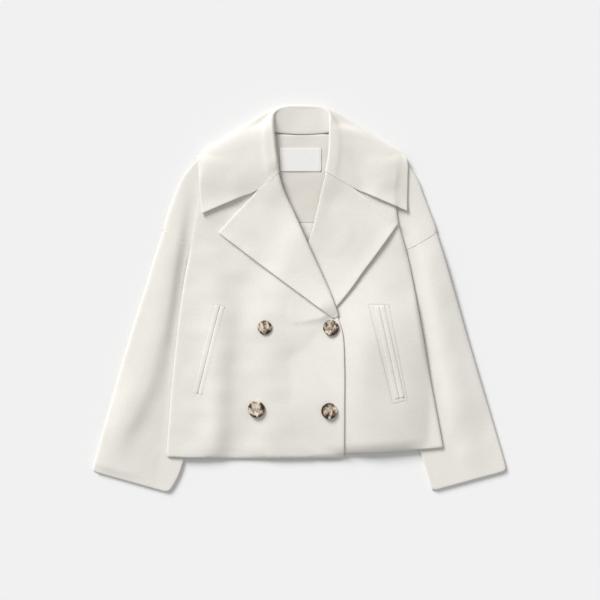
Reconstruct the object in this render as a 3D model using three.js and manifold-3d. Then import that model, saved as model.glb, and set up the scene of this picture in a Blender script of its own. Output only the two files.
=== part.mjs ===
// A double-breasted blazer laid flat on its back, front up, the sleeves drawn in beneath the body.
// Millimetres. X runs across the coat, positive at the wearer's left, Y runs up to the collar and
// Z up from the floor. Every piece of cloth is a thin closed sheet round a middle surface.
import * as THREE from "three";
import { mergeVertices } from "three/addons/utils/BufferGeometryUtils.js";
import Module from "manifold-3d";

const wasm = await Module();
wasm.setup();

// Thicknesses of the cloth with what backs it, and the room left between pieces
const bodyCloth = 2.5;
const backCloth = 2;
const collarCloth = 3;
const facingCloth = 1.5;
const liningCloth = 1;
const labelCloth = 0.8;
const weltCloth = 1.4;
const seamGap = 0.3;
const layerGap = 0.75;

// Heights that the stack gives: the tucked sleeves and the collar's back fall carry the back
const sleeveStack = 2 * bodyCloth + seamGap;
const tuckClear = 0.7;
const tuckLift = sleeveStack + tuckClear;
const fallLift = collarCloth + layerGap;
const creaseLift = 3.3;
const middle = 5;

const buttonThickness = 4.2;
const buttonHoleRadius = 1.1;
const buttonHoleSpacing = 3.2;
const weltWidth = 8;
const weltGap = 0.65;
const slitHalf = 0.25;
const pleatDepth = 0.7;
const labelSize = { width: 72, height: 41 };
const labelCentre = { x: 1, y: 242 };
const labelGap = seamGap + 0.2;

// Sleeves, from the armhole seam to the cuff: outer edge, then the edge tucked beneath the body
const rightSleeveRows = [
  { outerX: -239, outerY: 117.5, innerX: -188, innerY: 87.4 },
  { outerX: -246.5, outerY: 94, innerX: -196, innerY: 63 },
  { outerX: -254, outerY: 72, innerX: -200, innerY: 38 },
  { outerX: -262, outerY: 44, innerX: -203.5, innerY: 14 },
  { outerX: -271, outerY: 15, innerX: -160, innerY: -20 },
  { outerX: -281, outerY: -16, innerX: -123, innerY: -55 },
  { outerX: -290.5, outerY: -46.5, innerX: -131, innerY: -84 },
  { outerX: -311.5, outerY: -116.5, innerX: -154.5, innerY: -152 },
  { outerX: -331.5, outerY: -186.5, innerX: -178, innerY: -215 },
  { outerX: -348, outerY: -244, innerX: -199, innerY: -267 },
  { outerX: -357.5, outerY: -281, innerX: -211, innerY: -307 },
  { outerX: -363, outerY: -301.5, innerX: -229, innerY: -339 },
];
const leftSleeveRows = [
  { outerX: 239, outerY: 114.5, innerX: 183.5, innerY: 83.7 },
  { outerX: 246, outerY: 92, innerX: 189.5, innerY: 63 },
  { outerX: 253, outerY: 70, innerX: 194.5, innerY: 38 },
  { outerX: 261, outerY: 42, innerX: 199.5, innerY: 14 },
  { outerX: 270, outerY: 11, innerX: 160, innerY: -20 },
  { outerX: 279, outerY: -20, innerX: 126, innerY: -55 },
  { outerX: 288, outerY: -51.5, innerX: 134, innerY: -84 },
  { outerX: 308, outerY: -120, innerX: 158, innerY: -152 },
  { outerX: 328, outerY: -186.5, innerX: 183, innerY: -215 },
  { outerX: 345, outerY: -244, innerX: 209, innerY: -265 },
  { outerX: 355.5, outerY: -280, innerX: 220.5, innerY: -300 },
  { outerX: 361.5, outerY: -300.5, innerX: 231, innerY: -336 },
];

// Fronts, from the neck and shoulder to the hem: free or neck edge, then the side crease
const rightFrontRows = [
  { innerX: -90, innerY: 297, creaseX: -170, creaseY: 243 },
  { innerX: -88, innerY: 272, creaseX: -174, creaseY: 215 },
  { innerX: -80, innerY: 244, creaseX: -177, creaseY: 188 },
  { innerX: -61, innerY: 219, creaseX: -180, creaseY: 160 },
  { innerX: -38, innerY: 197, creaseX: -184, creaseY: 128 },
  { innerX: -24, innerY: 163, creaseX: -189, creaseY: 96 },
  { innerX: -5, innerY: 120, creaseX: -198, creaseY: 57 },
  { innerX: 17, innerY: 74, creaseX: -205, creaseY: 13 },
  { innerX: 38, innerY: 27, creaseX: -212, creaseY: -38 },
  { innerX: 57, innerY: -14, creaseX: -217, creaseY: -87 },
  { innerX: 73, innerY: -56, creaseX: -222, creaseY: -134 },
  { innerX: 77, innerY: -116, creaseX: -226.5, creaseY: -183 },
  { innerX: 77, innerY: -195, creaseX: -230, creaseY: -230 },
  { innerX: 77, innerY: -278, creaseX: -233, creaseY: -276.5 },
];
const leftFrontRows = [
  { innerX: 94, innerY: 297, creaseX: 172, creaseY: 243 },
  { innerX: 92, innerY: 272, creaseX: 168, creaseY: 213 },
  { innerX: 84, innerY: 244, creaseX: 166, creaseY: 186 },
  { innerX: 66, innerY: 222, creaseX: 168, creaseY: 160 },
  { innerX: 49, innerY: 200, creaseX: 173, creaseY: 128 },
  { innerX: 38, innerY: 163, creaseX: 183, creaseY: 92 },
  { innerX: 24, innerY: 117, creaseX: 191, creaseY: 60 },
  { innerX: 9, innerY: 68, creaseX: 198, creaseY: 25 },
  { innerX: -5, innerY: 20, creaseX: 206.5, creaseY: -20 },
  { innerX: -17, innerY: -27, creaseX: 214.5, creaseY: -65 },
  { innerX: -27, innerY: -72, creaseX: 222, creaseY: -110 },
  { innerX: -40, innerY: -142, creaseX: 231, creaseY: -160 },
  { innerX: -49, innerY: -212, creaseX: 241.5, creaseY: -214 },
  { innerX: -54, innerY: -276, creaseX: 250, creaseY: -260 },
];

// Dropped shoulders, from the shoulder seam to the armhole seam: beneath the crease, then outside
const rightShoulderRows = [
  { innerX: -163, innerY: 238, outerX: -176, outerY: 247 },
  { innerX: -164, innerY: 214, outerX: -204, outerY: 212 },
  { innerX: -167, innerY: 188, outerX: -218, outerY: 182 },
  { innerX: -170, innerY: 160, outerX: -230, outerY: 152 },
  { innerX: -173, innerY: 122, outerX: -236, outerY: 131 },
  { innerX: -178, innerY: 82, outerX: -239, outerY: 118 },
];
const leftShoulderRows = [
  { innerX: 163, innerY: 238, outerX: 178, outerY: 247 },
  { innerX: 158, innerY: 214, outerX: 203, outerY: 212 },
  { innerX: 157, innerY: 188, outerX: 216, outerY: 180 },
  { innerX: 160, innerY: 160, outerX: 228, outerY: 149 },
  { innerX: 166, innerY: 122, outerX: 236, outerY: 128 },
  { innerX: 176, innerY: 80, outerX: 239, outerY: 115 },
];

// Back, from the neck seam to the hem: both side edges and the height of the row's middle
const backRows = [
  { leftX: -90, leftY: 297, middleY: 285.5, rightX: 94, rightY: 297 },
  { leftX: -133, leftY: 270, middleY: 262, rightX: 135, rightY: 270 },
  { leftX: -175, leftY: 246, middleY: 236, rightX: 177, rightY: 246 },
  { leftX: -205, leftY: 208, middleY: 204, rightX: 205, rightY: 206 },
  { leftX: -222, leftY: 172, middleY: 170, rightX: 220, rightY: 170 },
  { leftX: -234, leftY: 138, middleY: 138, rightX: 234, rightY: 134 },
  { leftX: -239, leftY: 118.5, middleY: 112, rightX: 239, rightY: 115.5 },
  { leftX: -184, leftY: 85, middleY: 86, rightX: 181, rightY: 85 },
  { leftX: -193, leftY: 58, middleY: 58, rightX: 187, rightY: 58 },
  { leftX: -200, leftY: 14, middleY: 18, rightX: 196, rightY: 16 },
  { leftX: -208, leftY: -37, middleY: -30, rightX: 206, rightY: -34 },
  { leftX: -214, leftY: -86, middleY: -80, rightX: 215, rightY: -84 },
  { leftX: -219, leftY: -134, middleY: -130, rightX: 222, rightY: -130 },
  { leftX: -223, leftY: -183, middleY: -180, rightX: 231, rightY: -175 },
  { leftX: -227, leftY: -230, middleY: -230, rightX: 239, rightY: -219 },
  { leftX: -230, leftY: -274, middleY: -277, rightX: 247, rightY: -259 },
];

// Lapels, from the gorge seam down: roll line, outer edge, and how proud the roll stands
const rightLapelRows = [
  { rollX: -37, rollY: 218, edgeX: -75, edgeY: 187.6, loft: 5 },
  { rollX: -31.5, rollY: 197, edgeX: -98, edgeY: 163, loft: 4.8 },
  { rollX: -23, rollY: 176, edgeX: -121, edgeY: 138.5, loft: 4.4 },
  { rollX: -12, rollY: 153, edgeX: -142.5, edgeY: 114.5, loft: 4 },
  { rollX: 2, rollY: 121.5, edgeX: -107, edgeY: 88, loft: 3.6 },
  { rollX: 19, rollY: 83, edgeX: -66.5, edgeY: 57, loft: 3 },
  { rollX: 37, rollY: 44.5, edgeX: -26, edgeY: 27, loft: 2.4 },
  { rollX: 54, rollY: 6, edgeX: 16, edgeY: -4, loft: 1.6 },
  { rollX: 67, rollY: -30, edgeX: 58, edgeY: -35, loft: 0.6 },
];
const leftLapelRows = [
  { rollX: 45, rollY: 219.8, edgeX: 95.5, edgeY: 190.8, loft: 5 },
  { rollX: 41, rollY: 199, edgeX: 121, edgeY: 171, loft: 4.8 },
  { rollX: 36.5, rollY: 181, edgeX: 147, edgeY: 151, loft: 4.4 },
  { rollX: 32, rollY: 160, edgeX: 171.5, edgeY: 131, loft: 4 },
  { rollX: 24, rollY: 128.5, edgeX: 140, edgeY: 86.5, loft: 2.2 },
  { rollX: 14, rollY: 97, edgeX: 108.5, edgeY: 44.5, loft: 0.3 },
  { rollX: 2, rollY: 53.5, edgeX: 75, edgeY: -1, loft: 0 },
  { rollX: -10, rollY: 11.5, edgeX: 38.5, edgeY: -34, loft: 0 },
  { rollX: -21, rollY: -30.5, edgeX: -13, edgeY: -44, loft: 0 },
];
const lapelTipRow = 3;

// Collar stations, from the gorge round the back of the neck: neck seam, roll line, a place on the
// fall, where it turns over the shoulder, and its edge. behind is 0 where the edge lies on the
// front, 0.5 where it passes over the shoulder and 1 where it lies behind the back
const rightCollarRows = [
  { neckX: -48, neckY: 211, rollX: -37, rollY: 219, rollZ: 15.6, midX: -75, midY: 188.5,
    foldX: -130, foldY: 165, edgeX: -171.5, edgeY: 147, behind: 0 },
  { neckX: -59, neckY: 219.5, rollX: -38.5, rollY: 230, rollZ: 16, midX: -86, midY: 203,
    foldX: -142, foldY: 187, edgeX: -174, edgeY: 181, behind: 0 },
  { neckX: -69, neckY: 230, rollX: -40.5, rollY: 244, rollZ: 16.3, midX: -90, midY: 223,
    foldX: -145, foldY: 214, edgeX: -176, edgeY: 212, behind: 0 },
  { neckX: -80.5, neckY: 251, rollX: -43, rollY: 262, rollZ: 16.5, midX: -94, midY: 248,
    foldX: -150, foldY: 240, edgeX: -177.5, edgeY: 236, behind: 0 },
  { neckX: -86, neckY: 266, rollX: -44, rollY: 273, rollZ: 16.5, midX: -95, midY: 264,
    foldX: -173, foldY: 252, edgeX: -178.5, edgeY: 249.5, behind: 0.5 },
  { neckX: -86, neckY: 279, rollX: -45, rollY: 284, rollZ: 16.5, midX: -94, midY: 277,
    foldX: -163, foldY: 261, edgeX: -167, edgeY: 253, behind: 1 },
  { neckX: -80, neckY: 290, rollX: -46, rollY: 295, rollZ: 16.5, midX: -88, midY: 290,
    foldX: -141, foldY: 273, edgeX: -136, edgeY: 233, behind: 1 },
  { neckX: -66, neckY: 294, rollX: -46.5, rollY: 309, rollZ: 15.5, midX: -72, midY: 303,
    foldX: -106, foldY: 296, edgeX: -104, edgeY: 230, behind: 1 },
  { neckX: -49, neckY: 290.5, rollX: -44.5, rollY: 322, rollZ: 13, midX: -56, midY: 318,
    foldX: -74, foldY: 315, edgeX: -72, edgeY: 228, behind: 1 },
  { neckX: -28, neckY: 288, rollX: -32, rollY: 331, rollZ: 9, midX: -37, midY: 332,
    foldX: -44, foldY: 334.5, edgeX: -38, edgeY: 227, behind: 1 },
];
const backCollarRow =
  { neckX: middle, neckY: 286.3, rollX: middle, rollY: 332, rollZ: 7, midX: middle, midY: 336,
    foldX: middle, foldY: 338.5, edgeX: middle, edgeY: 227, behind: 1 };
const leftCollarRows = [
  { neckX: 55, neckY: 212, rollX: 45, rollY: 220.5, rollZ: 15.6, midX: 95.5, midY: 191.5,
    foldX: 140, foldY: 172, edgeX: 187, edgeY: 152, behind: 0 },
  { neckX: 64.5, neckY: 222.5, rollX: 47, rollY: 231, rollZ: 16, midX: 96, midY: 206,
    foldX: 150, foldY: 190, edgeX: 187.5, edgeY: 182, behind: 0 },
  { neckX: 73, neckY: 232.5, rollX: 49.5, rollY: 245, rollZ: 16.3, midX: 98, midY: 225,
    foldX: 152, foldY: 214, edgeX: 188, edgeY: 211, behind: 0 },
  { neckX: 84.5, neckY: 251, rollX: 51, rollY: 262, rollZ: 16.5, midX: 101, midY: 249,
    foldX: 158, foldY: 240, edgeX: 188, edgeY: 234, behind: 0 },
  { neckX: 90, neckY: 266, rollX: 51.5, rollY: 273, rollZ: 16.5, midX: 102, midY: 264,
    foldX: 177, foldY: 252, edgeX: 183, edgeY: 249.5, behind: 0.5 },
  { neckX: 90, neckY: 279, rollX: 51.5, rollY: 284, rollZ: 16.5, midX: 101, midY: 277,
    foldX: 166, foldY: 261, edgeX: 170, edgeY: 253, behind: 1 },
  { neckX: 84, neckY: 290, rollX: 52, rollY: 295, rollZ: 16.5, midX: 94, midY: 290,
    foldX: 144, foldY: 273, edgeX: 140, edgeY: 233, behind: 1 },
  { neckX: 71, neckY: 294, rollX: 52, rollY: 309, rollZ: 15.5, midX: 78, midY: 302,
    foldX: 112, foldY: 293, edgeX: 110, edgeY: 230, behind: 1 },
  { neckX: 57, neckY: 290.5, rollX: 50.5, rollY: 322, rollZ: 13, midX: 62, midY: 317,
    foldX: 82, foldY: 312, edgeX: 80, edgeY: 228, behind: 1 },
  { neckX: 37, neckY: 288, rollX: 40, rollY: 330, rollZ: 9, midX: 46, midY: 331,
    foldX: 54, foldY: 331.5, edgeX: 46, edgeY: 227, behind: 1 },
];
const lastLyingRow = 3;
const lastShoulderRow = 7;

// Back facing and lining, from the neck seam down: both side edges
const facingRows = [
  { leftX: -53, rightX: 58, y: 285 },
  { leftX: -52, rightX: 57, y: 250 },
  { leftX: -44, rightX: 52, y: 212 },
  { leftX: -35, rightX: 45, y: 194 },
  { leftX: -22, rightX: 36, y: 163 },
  { leftX: -9, rightX: 27, y: 132 },
];
const liningRows = [
  { leftX: -9, rightX: 27, y: 131.7 },
  { leftX: -1, rightX: 21.5, y: 114 },
  { leftX: 7, rightX: 15.5, y: 97 },
];

// Soft folds in the cloth: a ridge along a line, its height and its reach to either side
const rightFrontFolds = [
  { fromX: -148, fromY: 60, toX: -138, toY: -250, height: 2.6, reach: 22 },
  { fromX: -66, fromY: -20, toX: -60, toY: -262, height: 2, reach: 20 },
  { fromX: -102, fromY: 60, toX: -60, toY: -60, height: 1.2, reach: 18 },
];
const leftFrontFolds = [
  { fromX: 114, fromY: -60, toX: 114, toY: -264, height: 1.4, reach: 17 },
  { fromX: 180, fromY: -40, toX: 206, toY: -226, height: 2.4, reach: 24 },
];
const rightSleeveFolds = [
  { fromX: -222, fromY: 70, toX: -258, toY: -120, height: 3, reach: 24 },
  { fromX: -300, fromY: -130, toX: -322, toY: -250, height: 2.8, reach: 26 },
  { fromX: -262, fromY: -220, toX: -282, toY: -290, height: 2, reach: 22 },
];
const leftSleeveFolds = [
  { fromX: 226, fromY: 70, toX: 268, toY: -130, height: 3.1, reach: 22 },
  { fromX: 272, fromY: -150, toX: 296, toY: -268, height: 2.8, reach: 26 },
];

const pockets = [
  { side: "right", topX: -139, topY: -13, bottomX: -178, bottomY: -166 },
  { side: "left", topX: 138, topY: -13, bottomX: 173, bottomY: -173 },
];
const buttons = [
  { name: "button_right_upper", side: "right", x: -61.5, y: -51.5, radius: 12.8 },
  { name: "button_left_upper", side: "right", x: 53.5, y: -52, radius: 12.8 },
  { name: "button_right_lower", side: "right", x: -76, y: -194, radius: 13.6 },
  { name: "button_left_lower", side: "right", x: 52, y: -196.5, radius: 13.6 },
];

const wool = new THREE.MeshStandardMaterial({ color: 0xe6e3dc, roughness: 0.95, metalness: 0 });
const liningSatin = new THREE.MeshStandardMaterial({ color: 0xdcd8d0, roughness: 0.6, metalness: 0 });
const labelSatin = new THREE.MeshStandardMaterial({ color: 0xf0f0ee, roughness: 0.5, metalness: 0 });
const horn = new THREE.MeshStandardMaterial({ color: 0x5a4334, roughness: 0.35, metalness: 0 });

const coat = new THREE.Group();
coat.name = "double_breasted_blazer";

const point = (x, y, z = 0) => new THREE.Vector3(x, y, z);
const blend = (from, to, share) => from.clone().lerp(to, share);
const smoothstep = THREE.MathUtils.smoothstep;

// A line through points, smooth but for its corners: the returned function gives row s of it
function lineThrough(points, corners = []) {
  const stops = [0, ...corners, points.length - 1];
  const runs = stops.slice(1).map((end, index) => {
    const run = points.slice(stops[index], end + 1);
    return new THREE.CatmullRomCurve3(run, false, "centripetal");
  });
  return (row) => {
    const index = Math.min(stops.findLastIndex((stop) => stop <= row), runs.length - 1);
    return runs[index].getPoint((row - stops[index]) / (stops[index + 1] - stops[index]));
  };
}

const steps = (count, perStep) =>
  Array.from({ length: (count - 1) * perStep + 1 }, (_, index) => index / perStep);

// Distance from a place to a stretch of line
function distanceTo(fromX, fromY, toX, toY, x, y) {
  const runX = toX - fromX;
  const runY = toY - fromY;
  const along = ((x - fromX) * runX + (y - fromY) * runY) / (runX * runX + runY * runY);
  const share = THREE.MathUtils.clamp(along, 0, 1);
  return Math.hypot(x - fromX - share * runX, y - fromY - share * runY);
}

// How far a place lies outside a closed outline, 0 inside it
function outside(outline, x, y) {
  let inside = false;
  let nearest = Infinity;
  outline.forEach((end, index) => {
    const start = outline[(index + outline.length - 1) % outline.length];
    const crosses = end.y > y !== start.y > y;
    if (crosses && x < start.x + ((y - start.y) / (end.y - start.y)) * (end.x - start.x)) {
      inside = !inside;
    }
    nearest = Math.min(nearest, distanceTo(start.x, start.y, end.x, end.y, x, y));
  });
  return inside ? 0 : nearest;
}

const foldHeight = (folds, x, y) => folds.reduce((sum, fold) => {
  const away = distanceTo(fold.fromX, fold.fromY, fold.toX, fold.toY, x, y) / fold.reach;
  return sum + fold.height * Math.exp(-away * away);
}, 0);

// What lies beneath the back: the tucked part of each sleeve and the collar's back fall
const tuckedRow = 3;
const farOut = 420;
const tuckedOutline = (rows) => {
  const edge = rows.slice(tuckedRow).map((row) => point(row.innerX, row.innerY));
  const out = Math.sign(rows[0].outerX) * farOut;
  return [...edge, point(out, edge.at(-1).y), point(out, edge[0].y)];
};
const tucked = [tuckedOutline(rightSleeveRows), tuckedOutline(leftSleeveRows)];
const tuckMargin = 14;
const tuckReach = 60;

function overSleeve(x, y, spread = 0) {
  const away = Math.min(...tucked.map((outline) => outside(outline, x, y)));
  return 1 - smoothstep(away, tuckMargin, tuckMargin + tuckReach + spread);
}

// The back is raised over the collar's fall: between these heights, and out to these widths
const fallRise = { fromY: 160, toY: 220, fullX: 172, endX: 215 };

function overFall(x, y) {
  const across = smoothstep(Math.abs(x - middle), fallRise.fullX, fallRise.endX);
  return smoothstep(y, fallRise.fromY, fallRise.toY) * (1 - across);
}

const lift = (x, y) => tuckLift * overSleeve(x, y) + fallLift * overFall(x, y);

// Height of what lies on the back, with more room where the back climbs
const climbRoom = 2;
const climbSpread = 30;
const fallClimb = 0.4;

function onBack(x, y) {
  const climb = overSleeve(x, y, climbSpread) + fallClimb * overFall(x, y);
  return lift(x, y) + backCloth + layerGap + climbRoom * 4 * climb * (1 - climb);
}

// How near a place is to a front's side crease, which stands clear of the dropped shoulder
const creaseReach = { rows: 9, full: 6, end: 66, lowY: 15, highY: 85 };
const creaseSoft = { share: 0.65, fromY: 140, toY: 225 };

function creaseShare(rows, x, y) {
  const line = rows.slice(0, creaseReach.rows);
  let nearest = Infinity;
  line.slice(1).forEach((end, index) => {
    const start = line[index];
    const away = distanceTo(start.creaseX, start.creaseY, end.creaseX, end.creaseY, x, y);
    nearest = Math.min(nearest, away);
  });
  const soft = 1 - creaseSoft.share * smoothstep(y, creaseSoft.fromY, creaseSoft.toY);
  const near = 1 - smoothstep(nearest, creaseReach.full, creaseReach.end);
  return near * smoothstep(y, creaseReach.lowY, creaseReach.highY) * soft;
}

// Undersides of the fronts, each resting on what lies beneath it
const lastUnderRow = 7;
const lastLapelRow = 5;
const lapelSide = point(80, 50);
const leftFrontLow = (x, y) => onBack(x, y) + creaseLift * creaseShare(leftFrontRows, x, y)
  + foldHeight(leftFrontFolds, x, y);

const leftFrontHidden = [
  ...leftFrontRows.slice(lastUnderRow).map((row) => point(row.innerX, row.innerY)),
  point(farOut, -276),
  point(farOut, 68),
];
const leftLapelHidden = [
  ...leftLapelRows.slice(lastLapelRow).map((row) => point(row.rollX, row.rollY)),
  ...leftLapelRows.slice(lastLapelRow + 1).reverse().map((row) => point(row.edgeX, row.edgeY)),
  lapelSide,
];
const underMargin = 16;
const underReach = 50;

const within = (outline, x, y) =>
  1 - smoothstep(outside(outline, x, y), underMargin, underMargin + underReach);

function rightFrontLow(x, y) {
  const onLeft = within(leftFrontHidden, x, y);
  const onLapel = within(leftLapelHidden, x, y);
  return onBack(x, y) + creaseLift * creaseShare(rightFrontRows, x, y)
    + (bodyCloth + layerGap) * onLeft + (collarCloth + layerGap) * onLapel
    + foldHeight(rightFrontFolds, x, y) * (1 - onLeft);
}

const frontLow = { right: rightFrontLow, left: leftFrontLow };

// Adds a row or column of points just inside each edge of a grid, where the cloth is full thick
function withRim(grid, reach) {
  const nearEnds = (line) => {
    const start = line[0].distanceTo(line[1]);
    const end = line.at(-1).distanceTo(line.at(-2));
    const first = blend(line[0], line[1], Math.min(reach / start, 0.45));
    const last = blend(line.at(-1), line.at(-2), Math.min(reach / end, 0.45));
    return [line[0], first, ...line.slice(1, -1), last, line.at(-1)];
  };
  const turned = (table) => table[0].map((_, index) => table.map((row) => row[index]));
  return turned(turned(grid.map(nearEnds)).map(nearEnds));
}

function normalAt(grid, row, column) {
  const along = grid[row + 1][column].clone().sub(grid[row - 1][column]);
  const across = grid[row][column + 1].clone().sub(grid[row][column - 1]);
  return along.cross(across).normalize();
}

// A closed sheet of cloth round a grid of middle points, thin at its rim
function closedSheet(middlePoints, thickness) {
  const grid = withRim(middlePoints, thickness / 2);
  const rows = grid.length;
  const columns = grid[0].length;
  const positions = [];
  const rim = (row, column) =>
    row === 0 || column === 0 || row === rows - 1 || column === columns - 1;
  const index = { upper: [], lower: [] };
  grid.forEach((line, row) => {
    index.upper.push([]);
    index.lower.push([]);
    line.forEach((place, column) => {
      const edge = rim(row, column);
      const offset = edge ? point(0, 0) : normalAt(grid, row, column).multiplyScalar(thickness / 2);
      index.upper[row].push(positions.length / 3);
      positions.push(...place.clone().add(offset).toArray());
      if (edge) {
        index.lower[row].push(index.upper[row][column]);
      } else {
        index.lower[row].push(positions.length / 3);
        positions.push(...place.clone().sub(offset).toArray());
      }
    });
  });
  const faces = [];
  for (let row = 0; row < rows - 1; row += 1) {
    for (let column = 0; column < columns - 1; column += 1) {
      const falling = fallingCell(row, column, rows, columns);
      for (const [side, flip] of [["upper", false], ["lower", true]]) {
        const a = index[side][row][column];
        const b = index[side][row][column + 1];
        const c = index[side][row + 1][column + 1];
        const d = index[side][row + 1][column];
        const pair = falling ? [[a, d, b], [b, d, c]] : [[a, c, b], [a, d, c]];
        pair.forEach((face) => faces.push(...(flip ? [face[0], face[2], face[1]] : face)));
      }
    }
  }
  const geometry = new THREE.BufferGeometry();
  geometry.setAttribute("position", new THREE.Float32BufferAttribute(positions, 3));
  geometry.setIndex(faces);
  return facingOut(geometry);
}

// Two corner cells are cut the other way, so that neither half lies wholly on the rim
function fallingCell(row, column, rows, columns) {
  const top = row === 0 && column === columns - 2;
  const bottom = row === rows - 2 && column === 0;
  return top || bottom;
}

function signedVolume(geometry) {
  const place = geometry.getAttribute("position");
  const faces = geometry.getIndex().array;
  const [a, b, c] = [point(0, 0), point(0, 0), point(0, 0)];
  let volume = 0;
  for (let face = 0; face < faces.length; face += 3) {
    a.fromBufferAttribute(place, faces[face]);
    b.fromBufferAttribute(place, faces[face + 1]);
    c.fromBufferAttribute(place, faces[face + 2]);
    volume += a.dot(b.clone().cross(c)) / 6;
  }
  return volume;
}

function facingOut(geometry) {
  if (signedVolume(geometry) < 0) {
    const faces = geometry.getIndex().array;
    for (let face = 0; face < faces.length; face += 3) {
      [faces[face + 1], faces[face + 2]] = [faces[face + 2], faces[face + 1]];
    }
  }
  return geometry;
}

function solidOf(geometry) {
  const bare = geometry.clone();
  bare.deleteAttribute("normal");
  bare.deleteAttribute("uv");
  const merged = mergeVertices(bare, 1e-4);
  return new wasm.Manifold(new wasm.Mesh({
    numProp: 3,
    vertProperties: new Float32Array(merged.getAttribute("position").array),
    triVerts: new Uint32Array(merged.getIndex().array),
  }));
}

function geometryOf(solid) {
  const mesh = solid.getMesh();
  const geometry = new THREE.BufferGeometry();
  geometry.setAttribute("position", new THREE.Float32BufferAttribute(mesh.vertProperties, 3));
  geometry.setIndex(Array.from(mesh.triVerts));
  return geometry;
}

function addPiece(name, geometry, material) {
  geometry.computeVertexNormals();
  const mesh = new THREE.Mesh(geometry, material);
  mesh.name = name;
  coat.add(mesh);
  return mesh;
}

// A grid of places between two edges, row by row, at a height that the last argument gives
function gridBetween(startLine, endLine, rowSteps, shares, height) {
  return rowSteps.map((row) => shares.map((share) => {
    const place = blend(startLine(row), endLine(row), share);
    return point(place.x, place.y, height(place.x, place.y, share));
  }));
}

const evenShares = (count) => Array.from({ length: count }, (_, index) => index / (count - 1));

// How far across the coat a front's side crease lies at a given height
function creaseAt(rows, y) {
  const next = rows.findIndex((row) => row.creaseY < y);
  if (next < 1) {
    return Math.abs((next ? rows.at(-1) : rows[0]).creaseX);
  }
  const [above, below] = [rows[next - 1], rows[next]];
  const share = (above.creaseY - y) / (above.creaseY - below.creaseY);
  return Math.abs(above.creaseX + share * (below.creaseX - above.creaseX));
}

// A sleeve's folds die out under the front, at the outer edge and above this height
const sleeveFree = { fromCrease: 4, toCrease: 34, fromHem: 6, toHem: 30, outerShare: 0.2 };
const foldLimit = 3.5;

function sleeve(side, rows, folds, frontRows) {
  const outer = lineThrough(rows.map((row) => point(row.outerX, row.outerY)));
  const inner = lineThrough(rows.map((row) => point(row.innerX, row.innerY)), [tuckedRow]);
  const sections = steps(rows.length, 2);
  const shares = evenShares(9);
  const flat = steps(rows.length, 1);
  const under = gridBetween(outer, inner, flat, [0, 0.5, 1], () => bodyCloth / 2);
  addPiece(`${side}_sleeve_under`, closedSheet(under, bodyCloth), wool);

  const hemY = frontRows.at(-1).creaseY;
  const crown = (x, y, share) => {
    const beside = Math.abs(x) - creaseAt(frontRows, y);
    const clear = smoothstep(beside, sleeveFree.fromCrease, sleeveFree.toCrease);
    const free = Math.max(clear, smoothstep(hemY - y, sleeveFree.fromHem, sleeveFree.toHem));
    const raised = foldHeight(folds, x, y) * free * smoothstep(share, 0, sleeveFree.outerShare);
    return 1.5 * bodyCloth + seamGap + Math.min(raised, foldLimit);
  };
  const top = gridBetween(outer, inner, sections, shares, crown);
  addPiece(`${side}_sleeve_top`, closedSheet(top, bodyCloth), wool);
}

function back() {
  const left = lineThrough(backRows.map((row) => point(row.leftX, row.leftY)), [2, 6, 7]);
  const right = lineThrough(backRows.map((row) => point(row.rightX, row.rightY)), [2, 6, 7]);
  const centre = lineThrough(backRows.map((row) => point(middle, row.middleY)));
  const grid = steps(backRows.length, 1).map((row) => evenShares(19).map((share) => {
    const place = blend(left(row), right(row), share);
    const level = (left(row).y + right(row).y) / 2;
    place.y += (centre(row).y - level) * Math.sin(Math.PI * share);
    place.z = lift(place.x, place.y) + backCloth / 2;
    return place;
  }));
  addPiece("back", closedSheet(grid, backCloth), wool);
}

// A front with its dropped shoulder: the main sheet's crease stands on a lower sheet, and the
// strip of cloth between them turns down at the crease
function front(side, rows, shoulderRows, edgeCorners) {
  const low = frontLow[side];
  const inner = lineThrough(rows.map((row) => point(row.innerX, row.innerY)), edgeCorners);
  const crease = lineThrough(rows.map((row) => point(row.creaseX, row.creaseY)));
  const onto = (x, y) => low(x, y) + bodyCloth / 2;
  const main = gridBetween(inner, crease, steps(rows.length, 2), evenShares(12), onto);

  const shoulderInner = lineThrough(shoulderRows.map((row) => point(row.innerX, row.innerY)));
  const shoulderOuter = lineThrough(shoulderRows.map((row) => point(row.outerX, row.outerY)));
  const onBackSheet = (x, y) => onBack(x, y) + bodyCloth / 2;
  const shoulder = gridBetween(
    shoulderInner, shoulderOuter, steps(shoulderRows.length, 2), evenShares(5), onBackSheet);

  const inward = -Math.sign(rows[0].creaseX);
  const turn = steps(6, 2).slice(1).map((row) => [0, 0.5, 1].map((share) => {
    const place = crease(row);
    const lower = onBackSheet(place.x, place.y);
    const upper = onto(place.x, place.y);
    const x = place.x + inward * (bodyCloth / 2 + seamGap);
    return point(x, place.y, lower + share * (upper - lower));
  }));
  const joined = solidOf(closedSheet(main, bodyCloth))
    .add(solidOf(closedSheet(shoulder, bodyCloth)))
    .add(solidOf(closedSheet(turn, bodyCloth)));
  addPiece(`${side}_front`, geometryOf(joined), wool);
}

// A lapel turned back on its front: its roll stands proud and curls down at the roll line
const fullCurlLoft = 3;

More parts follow.
